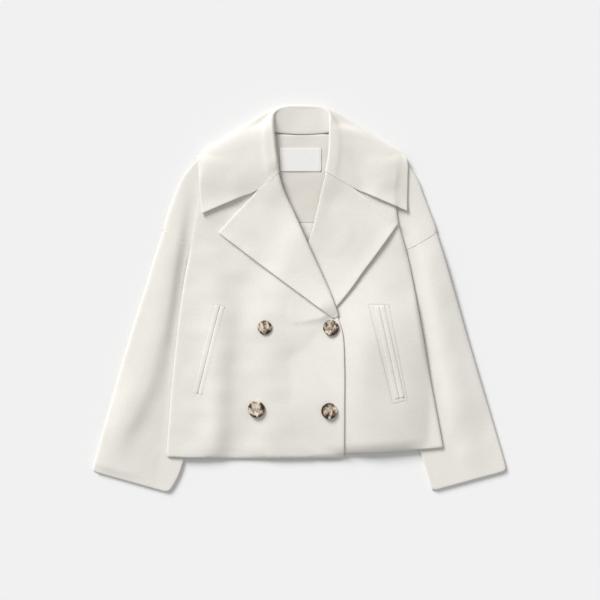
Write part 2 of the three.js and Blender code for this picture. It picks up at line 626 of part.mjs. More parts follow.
function lapel(side, rows) {
  const roll = lineThrough(rows.map((row) => point(row.rollX, row.rollY)));
  const edge = lineThrough(rows.map((row) => point(row.edgeX, row.edgeY)), [lapelTipRow]);
  const lofts = lineThrough(rows.map((row) => point(row.loft, 0)));
  const profile = [
    { reach: 0, share: 0, proud: 1, drop: 3 },
    { reach: 1.2, share: 0.1, proud: 1, drop: 1.2 },
    { reach: 4, share: 0.2, proud: 1, drop: 0 },
    { reach: 12, share: 0.32, proud: 0.75, drop: 0 },
    { reach: 28, share: 0.45, proud: 0.3, drop: 0 },
    { reach: 48, share: 0.6, proud: 0.05, drop: 0 },
    { reach: 80, share: 0.8, proud: 0, drop: 0 },
    { reach: 400, share: 1, proud: 0, drop: 0 },
  ];
  const grid = steps(rows.length, 2).map((row) => {
    const start = roll(row);
    const end = edge(row);
    const width = start.distanceTo(end);
    const loft = lofts(row).x;
    return profile.map((column) => {
      const share = Math.min(column.reach / width, column.share);
      const place = blend(start, end, share);
      const curl = column.drop * Math.min(1, loft / fullCurlLoft);
      place.z = lyingOn(side, place) + loft * column.proud - curl;
      return place;
    });
  });
  addPiece(`${side}_lapel`, closedSheet(grid, collarCloth), wool);
}

// Height of the middle of a collar or lapel that lies on a front
const lyingOn = (side, place) =>
  frontLow[side](place.x, place.y) + bodyCloth + layerGap + collarCloth / 2;

const towards = (from, to, reach, z) => {
  const run = to.clone().sub(from).setZ(0).normalize();
  return from.clone().addScaledVector(run, reach).setZ(z);
};

// The collar's section at one station: up the stand, over the roll, down the fall, then round the
// shoulder to the back where the station lies behind the front
const rollTop = 3;
const beforeTurn = 5;
const standHeight = { besideNeck: 8.8, behindNeck: 5.8 };
const highRoll = 10;
const rollTurn = { below: 10.2, least: 0.6, most: 6.2 };
const bendReach = 4;
const shoulderDrop = { edge: 3, fold: 0.5 };

function collarSection(row, side) {
  const besideNeck = row.rollZ > highRoll;
  const stand = besideNeck ? standHeight.besideNeck : standHeight.behindNeck;
  const neck = point(row.neckX, row.neckY, stand);
  const roll = point(row.rollX, row.rollY, row.rollZ);
  const mid = point(row.midX, row.midY);
  const fold = point(row.foldX, row.foldY);
  const edge = point(row.edgeX, row.edgeY, collarCloth / 2);
  const turn = THREE.MathUtils.clamp(row.rollZ - rollTurn.below, rollTurn.least, rollTurn.most);
  const rollReach = Math.min(bendReach, roll.distanceTo(mid.clone().setZ(row.rollZ)) / 3);
  mid.z = besideNeck ? lyingOn(side, mid) : row.rollZ - 0.6;
  const upper = besideNeck ? Math.min(lyingOn(side, fold), mid.z) : row.rollZ - 1;
  fold.z = (upper + edge.z) / 2;
  let before = towards(fold, mid, bendReach, upper);
  let after = towards(fold, edge, bendReach, edge.z);
  if (row.behind < 1) {
    edge.z = lyingOn(side, edge) - (row.behind ? shoulderDrop.edge : 0);
    fold.z = lyingOn(side, fold) - (row.behind ? shoulderDrop.fold : 0);
    before = row.behind ? before : blend(mid, fold, 0.55);
    after = blend(fold, edge, 0.5);
  }
  return [
    neck,
    towards(roll, neck, bendReach, row.rollZ - turn),
    roll.clone().setZ(row.rollZ - turn / 2),
    towards(roll, mid, rollReach, row.rollZ),
    mid,
    before,
    fold,
    after,
    edge,
  ];
}

function collar() {
  const rows = [...rightCollarRows, backCollarRow, ...leftCollarRows.toReversed()];
  const centre = rightCollarRows.length;
  const sideAt = (row) => (row < centre ? "right" : "left");
  const sections = rows.map((row, index) => lineThrough(collarSection(row, sideAt(index))));
  const columns = [0, 1, 1.5, 2, 2.5, 3, 3.4, 4, 4.6, 5, 5.5, 6, 6.5, 7, 8];
  const lines = columns.map((column) => lineThrough(sections.map((section) => section(column))));
  const grid = steps(rows.length, 2).map((row) => lines.map((line, index) => {
    const place = line(row);
    const station = centre - Math.abs(row - centre);
    const onFall = columns[index] >= rollTop && station <= lastShoulderRow;
    if (onFall && (columns[index] <= beforeTurn || station <= lastLyingRow + 0.5)) {
      place.z = Math.max(place.z, lyingOn(sideAt(row), place));
    }
    place.z = Math.max(place.z, collarCloth / 2);
    return place;
  }));
  addPiece("collar", closedSheet(grid, collarCloth), wool);
}

function neckPieces() {
  const insideBack = (x, y) => lift(x, y) + backCloth + layerGap;
  const facingHigh = (x, y) => insideBack(x, y) + facingCloth / 2;
  const sideLine = (rows, key) => lineThrough(rows.map((row) => point(row[key], row.y)));
  const facing = gridBetween(sideLine(facingRows, "leftX"), sideLine(facingRows, "rightX"),
    steps(facingRows.length, 2), evenShares(5), facingHigh);
  addPiece("back_facing", closedSheet(facing, facingCloth), wool);

  const [rise, top, fall, foot] = [0.3, 0.4, 0.8, 0.9];
  const pleat = (x, y, share) => insideBack(x, y) + liningCloth / 2
    + pleatDepth * smoothstep(share, rise, top) * (1 - smoothstep(share, fall, foot));
  const lining = gridBetween(sideLine(liningRows, "leftX"), sideLine(liningRows, "rightX"),
    steps(liningRows.length, 2), [0, rise, top, fall, foot, 1], pleat);
  addPiece("back_lining", closedSheet(lining, liningCloth), liningSatin);

  const left = labelCentre.x - labelSize.width / 2;
  const right = labelCentre.x + labelSize.width / 2;
  const label = [0, 0.25, 0.5, 0.75, 1].map((rowShare) => evenShares(5).map((share) => {
    const x = left + share * (right - left);
    const y = labelCentre.y + labelSize.height * (0.5 - rowShare);
    return point(x, y, facingHigh(x, y) + facingCloth / 2 + labelGap + labelCloth / 2);
  }));
  addPiece("label", closedSheet(label, labelCloth), labelSatin);
}

// The welts follow the front: each point is the front's own surface moved out
function pocketWelts(pocket, frontMesh) {
  const top = point(pocket.topX, pocket.topY);
  const bottom = point(pocket.bottomX, pocket.bottomY);
  const across = bottom.clone().sub(top).normalize().applyAxisAngle(point(0, 0, 1), Math.PI / 2);
  for (const [place, sign] of [["inner", 1], ["outer", -1]]) {
    const grid = evenShares(9).map((along) => [0, 0.5, 1].map((share) => {
      const spot = blend(top, bottom, along);
      spot.addScaledVector(across, sign * (slitHalf + share * weltWidth));
      spot.z = surfaceHeight(frontMesh, spot.x, spot.y) + weltCloth / 2 + weltGap;
      return spot;
    }));
    addPiece(`${pocket.side}_pocket_welt_${place}`, closedSheet(grid, weltCloth), wool);
  }
}

function surfaceHeight(mesh, x, y) {
  const ray = new THREE.Raycaster(point(x, y, 100), point(0, 0, -1));
  return ray.intersectObject(mesh)[0].point.z;
}

// A dished button with four holes and a rounded rim
function button(item, frontMesh) {
  const { radius } = item;
  const profile = [
    [0, 0], [radius * 0.7, 0], [radius * 0.93, 0.9], [radius, 2.1], [radius * 0.95, 3.4],
    [radius * 0.82, buttonThickness], [radius * 0.64, 3.7], [radius * 0.5, 2.9], [0, 2.7],
  ].map(([x, y]) => new THREE.Vector2(x, y));
  const disc = new THREE.LatheGeometry(profile, 18).rotateX(Math.PI / 2);
  let solid = solidOf(disc);
  for (const across of [-1, 1]) {
    for (const along of [-1, 1]) {
      const hole = new THREE.CylinderGeometry(
        buttonHoleRadius, buttonHoleRadius, 3 * buttonThickness, 6).rotateX(Math.PI / 2);
      hole.translate((across * buttonHoleSpacing) / 2, (along * buttonHoleSpacing) / 2, 0);
      solid = solid.subtract(solidOf(hole));
    }
  }
  const reach = radius * 0.9;
  const seat = Math.max(...[-1, 0, 1].flatMap((across) => [-1, 0, 1].map((along) =>
    surfaceHeight(frontMesh, item.x + across * reach, item.y + along * reach))));
  const mesh = addPiece(item.name, geometryOf(solid), horn);
  mesh.position.set(item.x, item.y, seat + seamGap);
}

back();
sleeve("right", rightSleeveRows, rightSleeveFolds, rightFrontRows);
sleeve("left", leftSleeveRows, leftSleeveFolds, leftFrontRows);
front("left", leftFrontRows, leftShoulderRows, [4]);
front("right", rightFrontRows, rightShoulderRows, [4]);
lapel("left", leftLapelRows);
lapel("right", rightLapelRows);
collar();
neckPieces();

const frontMesh = (side) => coat.children.find((mesh) => mesh.name === `${side}_front`);
pockets.forEach((pocket) => pocketWelts(pocket, frontMesh(pocket.side)));
buttons.forEach((item) => button(item, frontMesh(item.side)));

// The origin is under the middle of the whole coat, on the floor
const whole = new THREE.Box3().setFromObject(coat);
const centre = whole.getCenter(point(0, 0));
coat.position.set(-centre.x, -centre.y, -whole.min.z);

export default coat;
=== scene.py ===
# A double-breasted wool blazer laid flat on its back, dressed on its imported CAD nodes.
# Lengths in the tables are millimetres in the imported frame: X to the wearer's left, Y to the
# collar, Z up. Meshes are made in millimetres and scaled to metres when an object is made.
import math
import bpy
import bmesh
import numpy as np
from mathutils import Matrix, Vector
from mathutils.bvhtree import BVHTree
from mathutils.geometry import delaunay_2d_cdt


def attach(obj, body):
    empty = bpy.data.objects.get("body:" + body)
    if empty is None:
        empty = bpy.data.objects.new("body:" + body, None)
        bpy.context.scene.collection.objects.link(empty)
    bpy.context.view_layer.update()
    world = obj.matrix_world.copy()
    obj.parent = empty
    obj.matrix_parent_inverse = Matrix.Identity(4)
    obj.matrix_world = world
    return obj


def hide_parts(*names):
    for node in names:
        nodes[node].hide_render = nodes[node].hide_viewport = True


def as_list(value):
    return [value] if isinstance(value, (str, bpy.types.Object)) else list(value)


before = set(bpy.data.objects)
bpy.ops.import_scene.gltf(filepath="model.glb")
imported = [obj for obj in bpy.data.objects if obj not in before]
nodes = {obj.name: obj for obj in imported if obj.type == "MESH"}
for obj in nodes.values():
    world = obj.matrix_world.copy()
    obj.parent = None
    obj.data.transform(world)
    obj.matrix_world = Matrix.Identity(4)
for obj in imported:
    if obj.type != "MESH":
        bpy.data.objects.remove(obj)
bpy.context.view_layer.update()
bpy.ops.object.select_all(action="DESELECT")
print("frame loaded:", len(nodes), "nodes")

mm = 0.001
clothStep = 3.2     # spacing of the points of a sheet
layerGap = 0.45     # air kept between one layer and the next


class Socket:
    # A shader socket that takes part in sums
    def __init__(self, finish, link):
        self.finish = finish
        self.link = link

    def sum(self, operation, *values):
        return self.finish.node("ShaderNodeMath", {"operation": operation}, dict(enumerate(values)))

    def __add__(self, other):
        return self.sum("ADD", self, other)

    def __radd__(self, other):
        return self.sum("ADD", other, self)

    def __sub__(self, other):
        return self.sum("SUBTRACT", self, other)

    def __rsub__(self, other):
        return self.sum("SUBTRACT", other, self)

    def __mul__(self, other):
        return self.sum("MULTIPLY", self, other)

    def __rmul__(self, other):
        return self.sum("MULTIPLY", other, self)

    def clamped(self, low, high):
        return self.finish.node("ShaderNodeMapRange", {"clamp": True},
                                {"Value": self, "From Min": low, "From Max": high})


class Finish:
    # One material and the nodes that make it
    inputNames = {"color": "Base Color", "roughness": "Roughness", "normal": "Normal",
                  "sheen": "Sheen Weight", "sheenRoughness": "Sheen Roughness",
                  "specular": "Specular IOR Level"}

    def __init__(self, name):
        self.material = bpy.data.materials.new(name)
        self.material.use_nodes = True
        self.tree = self.material.node_tree
        self.shader = self.tree.nodes["Principled BSDF"]
        self.place = self.node("ShaderNodeTexCoord", {}, {}, "Object")

    def node(self, kind, settings, values, output=0):
        made = self.tree.nodes.new(kind)
        for key, value in settings.items():
            if key == "stops":
                ramp = made.color_ramp
                while len(ramp.elements) < len(value):
                    ramp.elements.new(0.5)
                for element, (position, color) in zip(ramp.elements, value):
                    element.position = position
                    element.color = color
            else:
                setattr(made, key, value)
        for key, value in values.items():
            self.feed(made.inputs[key], value)
        return Socket(self, made.outputs[output])

    def feed(self, target, value):
        if isinstance(value, Socket):
            self.tree.links.new(value.link, target)
        else:
            target.default_value = value

    def mixed(self, share, first, second):
        return self.node("ShaderNodeMix", {"data_type": "RGBA"},
                         {"Factor": share, "A": first, "B": second}, "Result")

    def noise(self, scale, detail=2.0, roughness=0.5, where=None):
        return self.node("ShaderNodeTexNoise", {}, {
            "Vector": where or self.place, "Scale": scale, "Detail": detail, "Roughness": roughness})

    def stretched(self, scale, turn=0.0):
        return self.node("ShaderNodeMapping", {}, {
            "Vector": self.place, "Scale": scale, "Rotation": (0, 0, turn)})

    def shaded(self, **values):
        for key, value in values.items():
            self.feed(self.shader.inputs[self.inputNames[key]], value)
        return self.material

    def bumped(self, height, distance, strength=1.0):
        return self.node("ShaderNodeBump", {}, {
            "Height": height, "Distance": distance, "Strength": strength})


woolLook = {
    "pale": (0.822, 0.797, 0.745, 1),
    "deep": (0.735, 0.708, 0.652, 1),
    "fibreSize": 1400.0,
    "patchSize": 26.0,
    "tuftSize": 260.0,
    "contrast": (0.34, 0.68),
    "nap": 0.0005,
}


def makeWool(name, look):
    wool = Finish(name)
    fibresAcross = wool.noise(look["fibreSize"], 3, 0.6, wool.stretched((1, 0.22, 1), 0.5))
    fibresAlong = wool.noise(look["fibreSize"], 3, 0.6, wool.stretched((0.25, 1, 1), 0.35))
    fibres = (fibresAcross + fibresAlong) * 0.5
    patches = wool.noise(look["patchSize"], 2, 0.5)
    tufts = wool.noise(look["tuftSize"], 3, 0.6)
    share = (fibres * 0.55 + patches * 0.2 + tufts * 0.25).clamped(*look["contrast"])
    color = wool.mixed(share, look["deep"], look["pale"])
    height = fibres * 0.6 + tufts * 0.9
    return wool.shaded(color=color, roughness=(1 - share * 0.08).clamped(0.0, 1.04),
                       normal=wool.bumped(height, look["nap"], 0.55), specular=0.18,
                       sheen=0.12, sheenRoughness=0.6)


def makeSatin(name, look):
    satin = Finish(name)
    warp = satin.node("ShaderNodeTexWave", {"bands_direction": "X"}, {
        "Vector": satin.place, "Scale": look["weave"], "Distortion": 1.2, "Detail": 1.0})
    weft = satin.node("ShaderNodeTexWave", {"bands_direction": "Y"}, {
        "Vector": satin.place, "Scale": look["weave"] * 0.8, "Distortion": 1.2, "Detail": 1.0})
    slub = satin.noise(220.0, 3, 0.6)
    threads = warp * 0.5 + weft * 0.5
    share = (threads * 0.35 + slub * 0.65).clamped(0.2, 0.8)
    return satin.shaded(color=satin.mixed(share, look["deep"], look["pale"]),
                        roughness=look["rough"] + slub * 0.12, specular=0.3,
                        normal=satin.bumped(threads * 0.6 + slub * 0.4, look["nap"], 0.5))


hornLook = {
    "dark": (0.022, 0.014, 0.010, 1),
    "brown": (0.115, 0.055, 0.032, 1),
    "tan": (0.34, 0.25, 0.17, 1),
    "cream": (0.74, 0.68, 0.58, 1),
    "streakSize": 150.0,
}


def makeHorn(name, look):
    # The horn's own streaks over painted light that turns with each button: a painted highlight paler at
    # the middle left and the upper right rim, and painted shade darkest at the right, below and round the
    # rim
    horn = Finish(name)
    own = horn.node("ShaderNodeAttribute", {"attribute_name": "ownPlace"}, {}, "Vector")
    across = horn.node("ShaderNodeSeparateXYZ", {}, {"Vector": own}, "X")
    along = horn.node("ShaderNodeSeparateXYZ", {}, {"Vector": own}, "Y")
    flow = horn.noise(look["streakSize"], 3, 0.55, horn.stretched((1, 0.6, 1), 0.7))
    fine = horn.noise(look["streakSize"] * 7, 4, 0.6, horn.stretched((1, 0.3, 1), 0.7))
    # middle and edge paint a highlight, rim paints shade round the edge; flow and fine are the horn's own
    # streaks
    left = across + 0.22
    up = along - 0.04
    middle = 1 - (left * left * 1.5 + up * up * 1.7)
    edge = (across * 0.7 + along * 0.9 - 0.8).clamped(0.0, 0.3)
    rim = (across * across + along * along - 0.5).clamped(0.0, 0.5)
    shade = flow * 1.7 + fine * 0.4 + middle.clamped(-0.4, 0.9) * 0.2 + edge * 0.3 - rim * 0.1 - 0.5
    color = horn.node("ShaderNodeValToRGB", {"stops": [
        (0.46, look["dark"]), (0.57, look["brown"]), (0.69, look["tan"]), (0.86, look["cream"])]},
        {"Fac": shade})
    return horn.shaded(color=color, roughness=0.2 + fine * 0.12, specular=0.5,
                       normal=horn.bumped(fine, 0.00005, 0.4))


def makeThread(name, color):
    thread = Finish(name)
    twist = thread.noise(2600.0, 2, 0.6)
    return thread.shaded(color=thread.mixed(twist, [c * 0.8 for c in color[:3]] + [1], color),
                         roughness=0.8, specular=0.2, normal=thread.bumped(twist, 0.0001, 0.5))


# The neck facing is the coat's own wool, made darker to paint the shade it lies in inside the neck
facingPaintedShadeLook = {**woolLook, "pale": (0.765, 0.735, 0.68, 1), "deep": (0.69, 0.658, 0.602, 1)}
liningLook = {"pale": (0.84, 0.815, 0.76, 1), "deep": (0.76, 0.73, 0.67, 1), "weave": 900.0,
              "nap": 0.0001, "rough": 0.5}
labelLook = {"pale": (0.86, 0.855, 0.835, 1), "deep": (0.79, 0.785, 0.765, 1), "weave": 1300.0,
             "nap": 0.00008, "rough": 0.45}

woolFinish = makeWool("brushed wool", woolLook)
facingPaintedShadeFinish = makeWool("facing wool with painted shade", facingPaintedShadeLook)
liningFinish = makeSatin("lining satin", liningLook)
labelFinish = makeSatin("label satin", labelLook)
hornFinish = makeHorn("marbled horn with painted highlight and shade", hornLook)
woolThread = makeThread("pale thread", (0.72, 0.69, 0.63, 1))
buttonThread = makeThread("button thread", (0.52, 0.45, 0.36, 1))
print("finishes made")


def splinePoint(points, at):
    # A place on a centripetal spline through points, at a row number
    last = len(points) - 1
    start = min(int(at), last - 1)
    share = at - start
    p1, p2 = points[start], points[start + 1]
    p0 = points[start - 1] if start > 0 else 2 * p1 - p2
    p3 = points[start + 2] if start + 2 <= last else 2 * p2 - p1
    d0, d1, d2 = (max(np.linalg.norm(b - a), 1e-6) ** 0.5 for a, b in ((p0, p1), (p1, p2), (p2, p3)))
    m1 = ((p1 - p0) / d0 - (p2 - p0) / (d0 + d1) + (p2 - p1) / d1) * d1
    m2 = ((p2 - p1) / d1 - (p3 - p1) / (d1 + d2) + (p3 - p2) / d2) * d1
    square, cube = share ** 2, share ** 3
    return ((2 * cube - 3 * square + 1) * p1 + (cube - 2 * square + share) * m1
            + (3 * square - 2 * cube) * p2 + (cube - square) * m2)


def splineLine(points, perStep=10):
    points = [np.array(point, float) for point in points]
    count = (len(points) - 1) * perStep
    return np.array([splinePoint(points, index / perStep) for index in range(count + 1)])


def lineDistance(xy, line):
    # Distance of each place to a line, the side it lies on and how far along the nearest point is
    starts, ends = line[:-1], line[1:]
    runs = ends - starts
    lengths = np.maximum(np.hypot(*runs.T), 1e-9)
    before = np.concatenate([[0], np.cumsum(lengths)])[:-1]
    total = lengths.sum()
    away, side, along = [], [], []
    for block in np.array_split(xy, max(1, len(xy) * len(line) // 2000000)):
        offset = block[:, None, :] - starts[None]
        share = np.clip((offset * runs).sum(2) / lengths ** 2, 0, 1)
        gap = offset - share[..., None] * runs
        distance = np.hypot(gap[..., 0], gap[..., 1])
        nearest = distance.argmin(1)
        pick = np.arange(len(block)), nearest
        away.append(distance[pick])
        cross = runs[nearest, 0] * offset[pick][:, 1] - runs[nearest, 1] * offset[pick][:, 0]
        side.append(np.sign(cross))
        along.append((before[nearest] + share[pick] * lengths[nearest]) / total)
    return np.concatenate(away), np.concatenate(side), np.concatenate(along)


def smoothstep(value, low, high):
    share = np.clip((value - low) / (high - low), 0, 1)
    return share * share * (3 - 2 * share)


def fadedEnds(along, fade):
    # Rises from the start of a line and falls towards its end, over one or two shares of it
    fadeIn, fadeOut = np.broadcast_to(fade, 2)
    ends = smoothstep(along, 0, fadeIn) if fadeIn else 1
    return ends * (1 - smoothstep(along, 1 - fadeOut, 1)) if fadeOut else ends


def foldsAt(xy, folds):
    # Soft ridges (and troughs, where high is negative), each along its own path
    total = np.zeros(len(xy))
    for fold in folds:
        away, side, along = lineDistance(xy, splineLine(fold["path"], 6))
        left, right = fold.get("widths", (fold.get("width"),) * 2)
        width = np.where(side > 0, left, right)
        total += fold["high"] * fadedEnds(along, fold.get("fade", 0.3)) * np.exp(-(away / width) ** 2)
    return total


rippleLengths = (34, 41, 53, 67, 88, 121, 150)


def ripple(xy, amount, seed):
    # Slight unevenness of cloth that nobody has pressed
    chance = np.random.default_rng(seed)
    total = np.zeros(len(xy))
    for length in rippleLengths:
        turn, phase = chance.uniform(0, 2 * math.pi, 2)
        wave = (xy[:, 0] * math.cos(turn) + xy[:, 1] * math.sin(turn)) * 2 * math.pi / length
        total += np.sin(wave + phase) * (length / 90) ** 0.8
    return total * amount / 2.2


class HeightMap:
    # The top of everything laid so far, in cells
    cell = 2.0
    halfX, halfY = 392.0, 372.0
    bare, bareBelow = -50.0, -20.0    # what a cell holds before cloth lies there
    samples = 6                       # places read along each side of a face

    def __init__(self):
        self.columns = int(2 * self.halfX / self.cell) + 1
        self.rows = int(2 * self.halfY / self.cell) + 1
        self.tops = np.full((self.rows, self.columns), self.bare)

    def copy(self):
        other = HeightMap()
        other.tops = self.tops.copy()
        return other

    def lay(self, points, faces):
        # Samples every face that looks up and keeps the highest in each cell
        triangles = np.array([part for face in faces for part in (
            [face[0], face[1], face[2]], [face[0], face[2], face[-1]])])
        a, b, c = (points[triangles[:, corner]] for corner in range(3))
        up = (b - a)[:, 0] * (c - a)[:, 1] - (b - a)[:, 1] * (c - a)[:, 0] > 0
        a, b, c = a[up], b[up], c[up]
        for one in range(self.samples + 1):
            for two in range(self.samples + 1 - one):
                spot = a + (b - a) * one / self.samples + (c - a) * two / self.samples
                column = np.rint((spot[:, 0] + self.halfX) / self.cell).astype(int)
                row = np.rint((spot[:, 1] + self.halfY) / self.cell).astype(int)
                np.maximum.at(self.tops, (row, column), spot[:, 2])

    def at(self, xy):
        across = np.clip((xy[:, 0] + self.halfX) / self.cell, 0, self.columns - 1.001)
        up = np.clip((xy[:, 1] + self.halfY) / self.cell, 0, self.rows - 1.001)
        column, row = across.astype(int), up.astype(int)
        right, high = across - column, up - row
        corners = [(self.tops[row + rise, column + over],
                    (high if rise else 1 - high) * (right if over else 1 - right))
                   for rise in (0, 1) for over in (0, 1)]
        flat = sum(top * weight for top, weight in corners)
        most = np.max([top for top, weight in corners], axis=0)
        least = np.min([top for top, weight in corners], axis=0)
        return np.where(least < self.bareBelow, most, flat)

    def spread(self, cells):
        # Carries heights outwards into the empty cells round the coat
        for _ in range(cells):
            known = self.tops > self.bareBelow
            total, count = np.zeros_like(self.tops), np.zeros_like(self.tops)
            for axis, shift in ((0, 1), (0, -1), (1, 1), (1, -1)):
                near = np.roll(known, shift, axis)
                total += np.where(near, np.roll(self.tops, shift, axis), 0)
                count += near
            fill = ~known & (count > 0)
            self.tops[fill] = total[fill] / count[fill]
        return self

    def widened(self, cells):
        # Each height carried a little way over the edge that it ends at
        for _ in range(cells):
            around = [np.roll(self.tops, shift, axis) for axis in (0, 1) for shift in (1, -1)]
            self.tops = np.max([self.tops, *around], axis=0)
        return self

    def add(self, other, side):
        # Takes another map's heights on one side of the coat's middle
        half = self.columns // 2
        across = slice(0, half) if side == "right" else slice(half, self.columns)
        self.tops[:, across] = other.tops[:, across]


laid = HeightMap()


def mergedNode(name):
    shape = bmesh.new()
    shape.from_mesh(nodes[name].data)
    bmesh.ops.remove_doubles(shape, verts=shape.verts, dist=1e-6)
    return shape


def upperSkin(shape):
    # The largest patch of faces that face up
    upward = {face for face in shape.faces if face.normal.z > 0.15}
    best = []
    while upward:
        patch, edge = [], [upward.pop()]
        while edge:
            face = edge.pop()
            patch.append(face)
            for side in face.edges:
                for other in side.link_faces:
                    if other in upward:
                        upward.discard(other)
                        edge.append(other)
        best = max(best, patch, key=lambda faces: sum(face.calc_area() for face in faces))
    return best


def lengthAlong(line):
    return np.concatenate([[0], np.cumsum(np.hypot(*np.diff(line, axis=0).T))])


def closedLoop(outline):
    return np.vstack([outline, outline[:1]])


def anticlockwise(points):
    ahead = np.roll(points, -1, 0)
    area = (points[:, 0] * ahead[:, 1] - points[:, 1] * ahead[:, 0]).sum()
    return points if area > 0 else points[::-1]


def inwardBetween(behind, ahead):
    # The way into a piece, from a place behind on its rim and one ahead
    run = ahead - behind
    inward = np.column_stack([-run[:, 1], run[:, 0]])
    return inward / np.maximum(np.hypot(*inward.T), 1e-9)[:, None]


def inwardOf(outline):
    return inwardBetween(np.roll(outline, 1, 0), np.roll(outline, -1, 0))


def nodeOutline(name):
    # The rim of a node's upper skin, as a loop of places, anticlockwise
    shape = mergedNode(name)
    patch = set(upperSkin(shape))
    rim = [edge for edge in shape.edges if sum(face in patch for face in edge.link_faces) == 1]
    nextTo = {}
    for edge in rim:
        for a, b in (edge.verts, reversed(edge.verts)):
            nextTo.setdefault(a, []).append(b)
    start = rim[0].verts[0]
    loop, last, here = [start], None, start
    while True:
        onward = [vert for vert in nextTo[here] if vert is not last]
        last, here = here, onward[0]
        if here is start:
            break
        loop.append(here)
    points = np.array([vert.co[:2] for vert in loop]) / mm
    shape.free()
    return anticlockwise(points)


outlineSetting = {"cornerTurn": 27, "step": 2.8, "leastGap": 4, "perStep": 12}


def smoothOutline(points, rounding, roundBelow):
    # The loop resampled along smooth curves between its corners
    before = points - np.roll(points, 1, 0)
    after = np.roll(points, -1, 0) - points
    turn = np.degrees(np.abs(np.arctan2(
        before[:, 0] * after[:, 1] - before[:, 1] * after[:, 0], (before * after).sum(1))))
    corners = [index for index in range(len(points)) if turn[index] > outlineSetting["cornerTurn"]]
    first = corners[0]
    closed = closedLoop(np.roll(points, -first, 0))
    corners = [index - first for index in corners] + [len(points)]
    outline = []
    for start, end in zip(corners, corners[1:]):
        run = closed[start:end + 1]
        kept = [run[0]]
        for point in run[1:-1]:
            gap = min(np.hypot(*(point - kept[-1])), np.hypot(*(point - run[-1])))
            if gap > outlineSetting["leastGap"]:
                kept.append(point)
        kept.append(run[-1])
        line = splineLine(kept, outlineSetting["perStep"])
        lengths = lengthAlong(line)
        count = max(2, round(lengths[-1] / outlineSetting["step"]))
        spots = np.linspace(0, lengths[-1], count + 1)[:-1]
        outline.append(np.column_stack([np.interp(spots, lengths, line[:, axis]) for axis in (0, 1)]))
    outline = np.vstack(outline)
    for _ in range(rounding):
        rounded = outline * 0.5 + (np.roll(outline, 1, 0) + np.roll(outline, -1, 0)) * 0.25
        outline = np.where(outline[:, 1:] < roundBelow, rounded, outline)
    return outline


def insideOf(xy, outline):
    inside = np.zeros(len(xy), bool)
    ends = np.roll(outline, -1, 0)
    for (x0, y0), (x1, y1) in zip(outline, ends):
        if y0 == y1:
            continue
        crosses = (y0 > xy[:, 1]) != (y1 > xy[:, 1])
        inside ^= crosses & (xy[:, 0] < x0 + (xy[:, 1] - y0) / (y1 - y0) * (x1 - x0))
    return inside


def outlineRun(outline, places):
    # The stretch of an outline from one place to another by way of a third
    spots = [int(np.hypot(*(outline - np.array(place)).T).argmin()) for place in places]
    count = len(outline)
    if (spots[1] - spots[0]) % count > (spots[2] - spots[0]) % count:
        spots[0], spots[2] = spots[2], spots[0]
    length = (spots[2] - spots[0]) % count
    return outline[[(spots[0] + index) % count for index in range(length + 1)]]


def movedOut(outline, seam, grow):
    # Brings a seam's edge out towards the piece it is sewn to
    near, _, along = lineDistance(outline, outlineRun(outline, seam))
    share = np.where(near < 0.01, np.minimum(1, np.minimum(along, 1 - along) * 8), 0)
    return outline - inwardOf(outline) * (share * grow)[:, None]


def smoothRun(outline, places, passes=60, ends=5):
    # Evens out one stretch of an outline, short of its two ends
    run = outlineRun(outline, places)
    fromEnds = np.minimum(np.hypot(*(outline - run[0]).T), np.hypot(*(outline - run[-1]).T))
    inner = ((lineDistance(outline, run)[0] < 0.01) & (fromEnds > ends))[:, None]
    for _ in range(passes):
        mean = (np.roll(outline, 1, 0) + np.roll(outline, -1, 0)) / 2
        outline = np.where(inner, (outline + mean) / 2, outline)
    return outline


rimRings = (0.12, 0.4, 1.0)             # rings of points inside the rim, as shares of its rounding
grooveRows = (-1.2, -0.6, 0, 0.6, 1.2)  # rows of points along a groove, as shares of its width
grooveStep = 2.4
evenRows = 0.866                        # height of an even triangle on a side of 1


def groovePoints(groove):
    rows = []
    line = np.array(groove["path"], float)
    for start, end in zip(line, line[1:]):
        run = end - start
        length = np.hypot(*run)
        across = np.array([-run[1], run[0]]) / length
        spots = np.linspace(0, 1, max(2, round(length / grooveStep)))[:, None]
        rows += [start + spots * run + across * offset * groove["width"] for offset in grooveRows]
    return rows


def meshOutline(outline, rounding, grooves=()):
    # Triangles inside an outline, with close rings at the rim and close rows at each groove
    closed = closedLoop(outline)
    outer = [outline]
    for share in rimRings:
        ring = outline + inwardOf(outline) * rounding * share
        away = lineDistance(ring, closed)[0]
        outer.append(ring[(away > 0.9 * rounding * share) & insideOf(ring, outline)])
    low, high = outline.min(0), outline.max(0)
    rows = np.arange(low[1], high[1], clothStep * evenRows)
    columns = np.arange(low[0], high[0], clothStep)
    field = np.array([(x + (index % 2) * clothStep / 2, y)
                      for index, y in enumerate(rows) for x in columns])
    field = field[insideOf(field, outline)]
    field = field[lineDistance(field, closed)[0] > rounding + clothStep * 0.55]
    for groove in grooves:
        away = lineDistance(field, np.array(groove["path"], float))[0]
        field = field[away > groove["width"] * 1.6]
        outer += [row[insideOf(row, outline)] for row in groovePoints(groove)]
    points = np.vstack(outer + [field])
    rimEdges = [(index, (index + 1) % len(outline)) for index in range(len(outline))]
    result = delaunay_2d_cdt([Vector(point) for point in points], rimEdges, [], 1, 1e-4)
    return np.array([tuple(point) for point in result[0]]), [list(face) for face in result[2]]


def neighboursMean(faces, count):
    edges = np.unique(np.sort(np.concatenate([
        np.array(faces)[:, [0, 1]], np.array(faces)[:, [1, 2]], np.array(faces)[:, [2, 0]]]), 1), axis=0)
    share = np.bincount(edges.ravel(), minlength=count)

    def mean(values):
        total = np.bincount(edges[:, 0], values[edges[:, 1]], count)
        total += np.bincount(edges[:, 1], values[edges[:, 0]], count)
        return total / np.maximum(share, 1)
    return mean


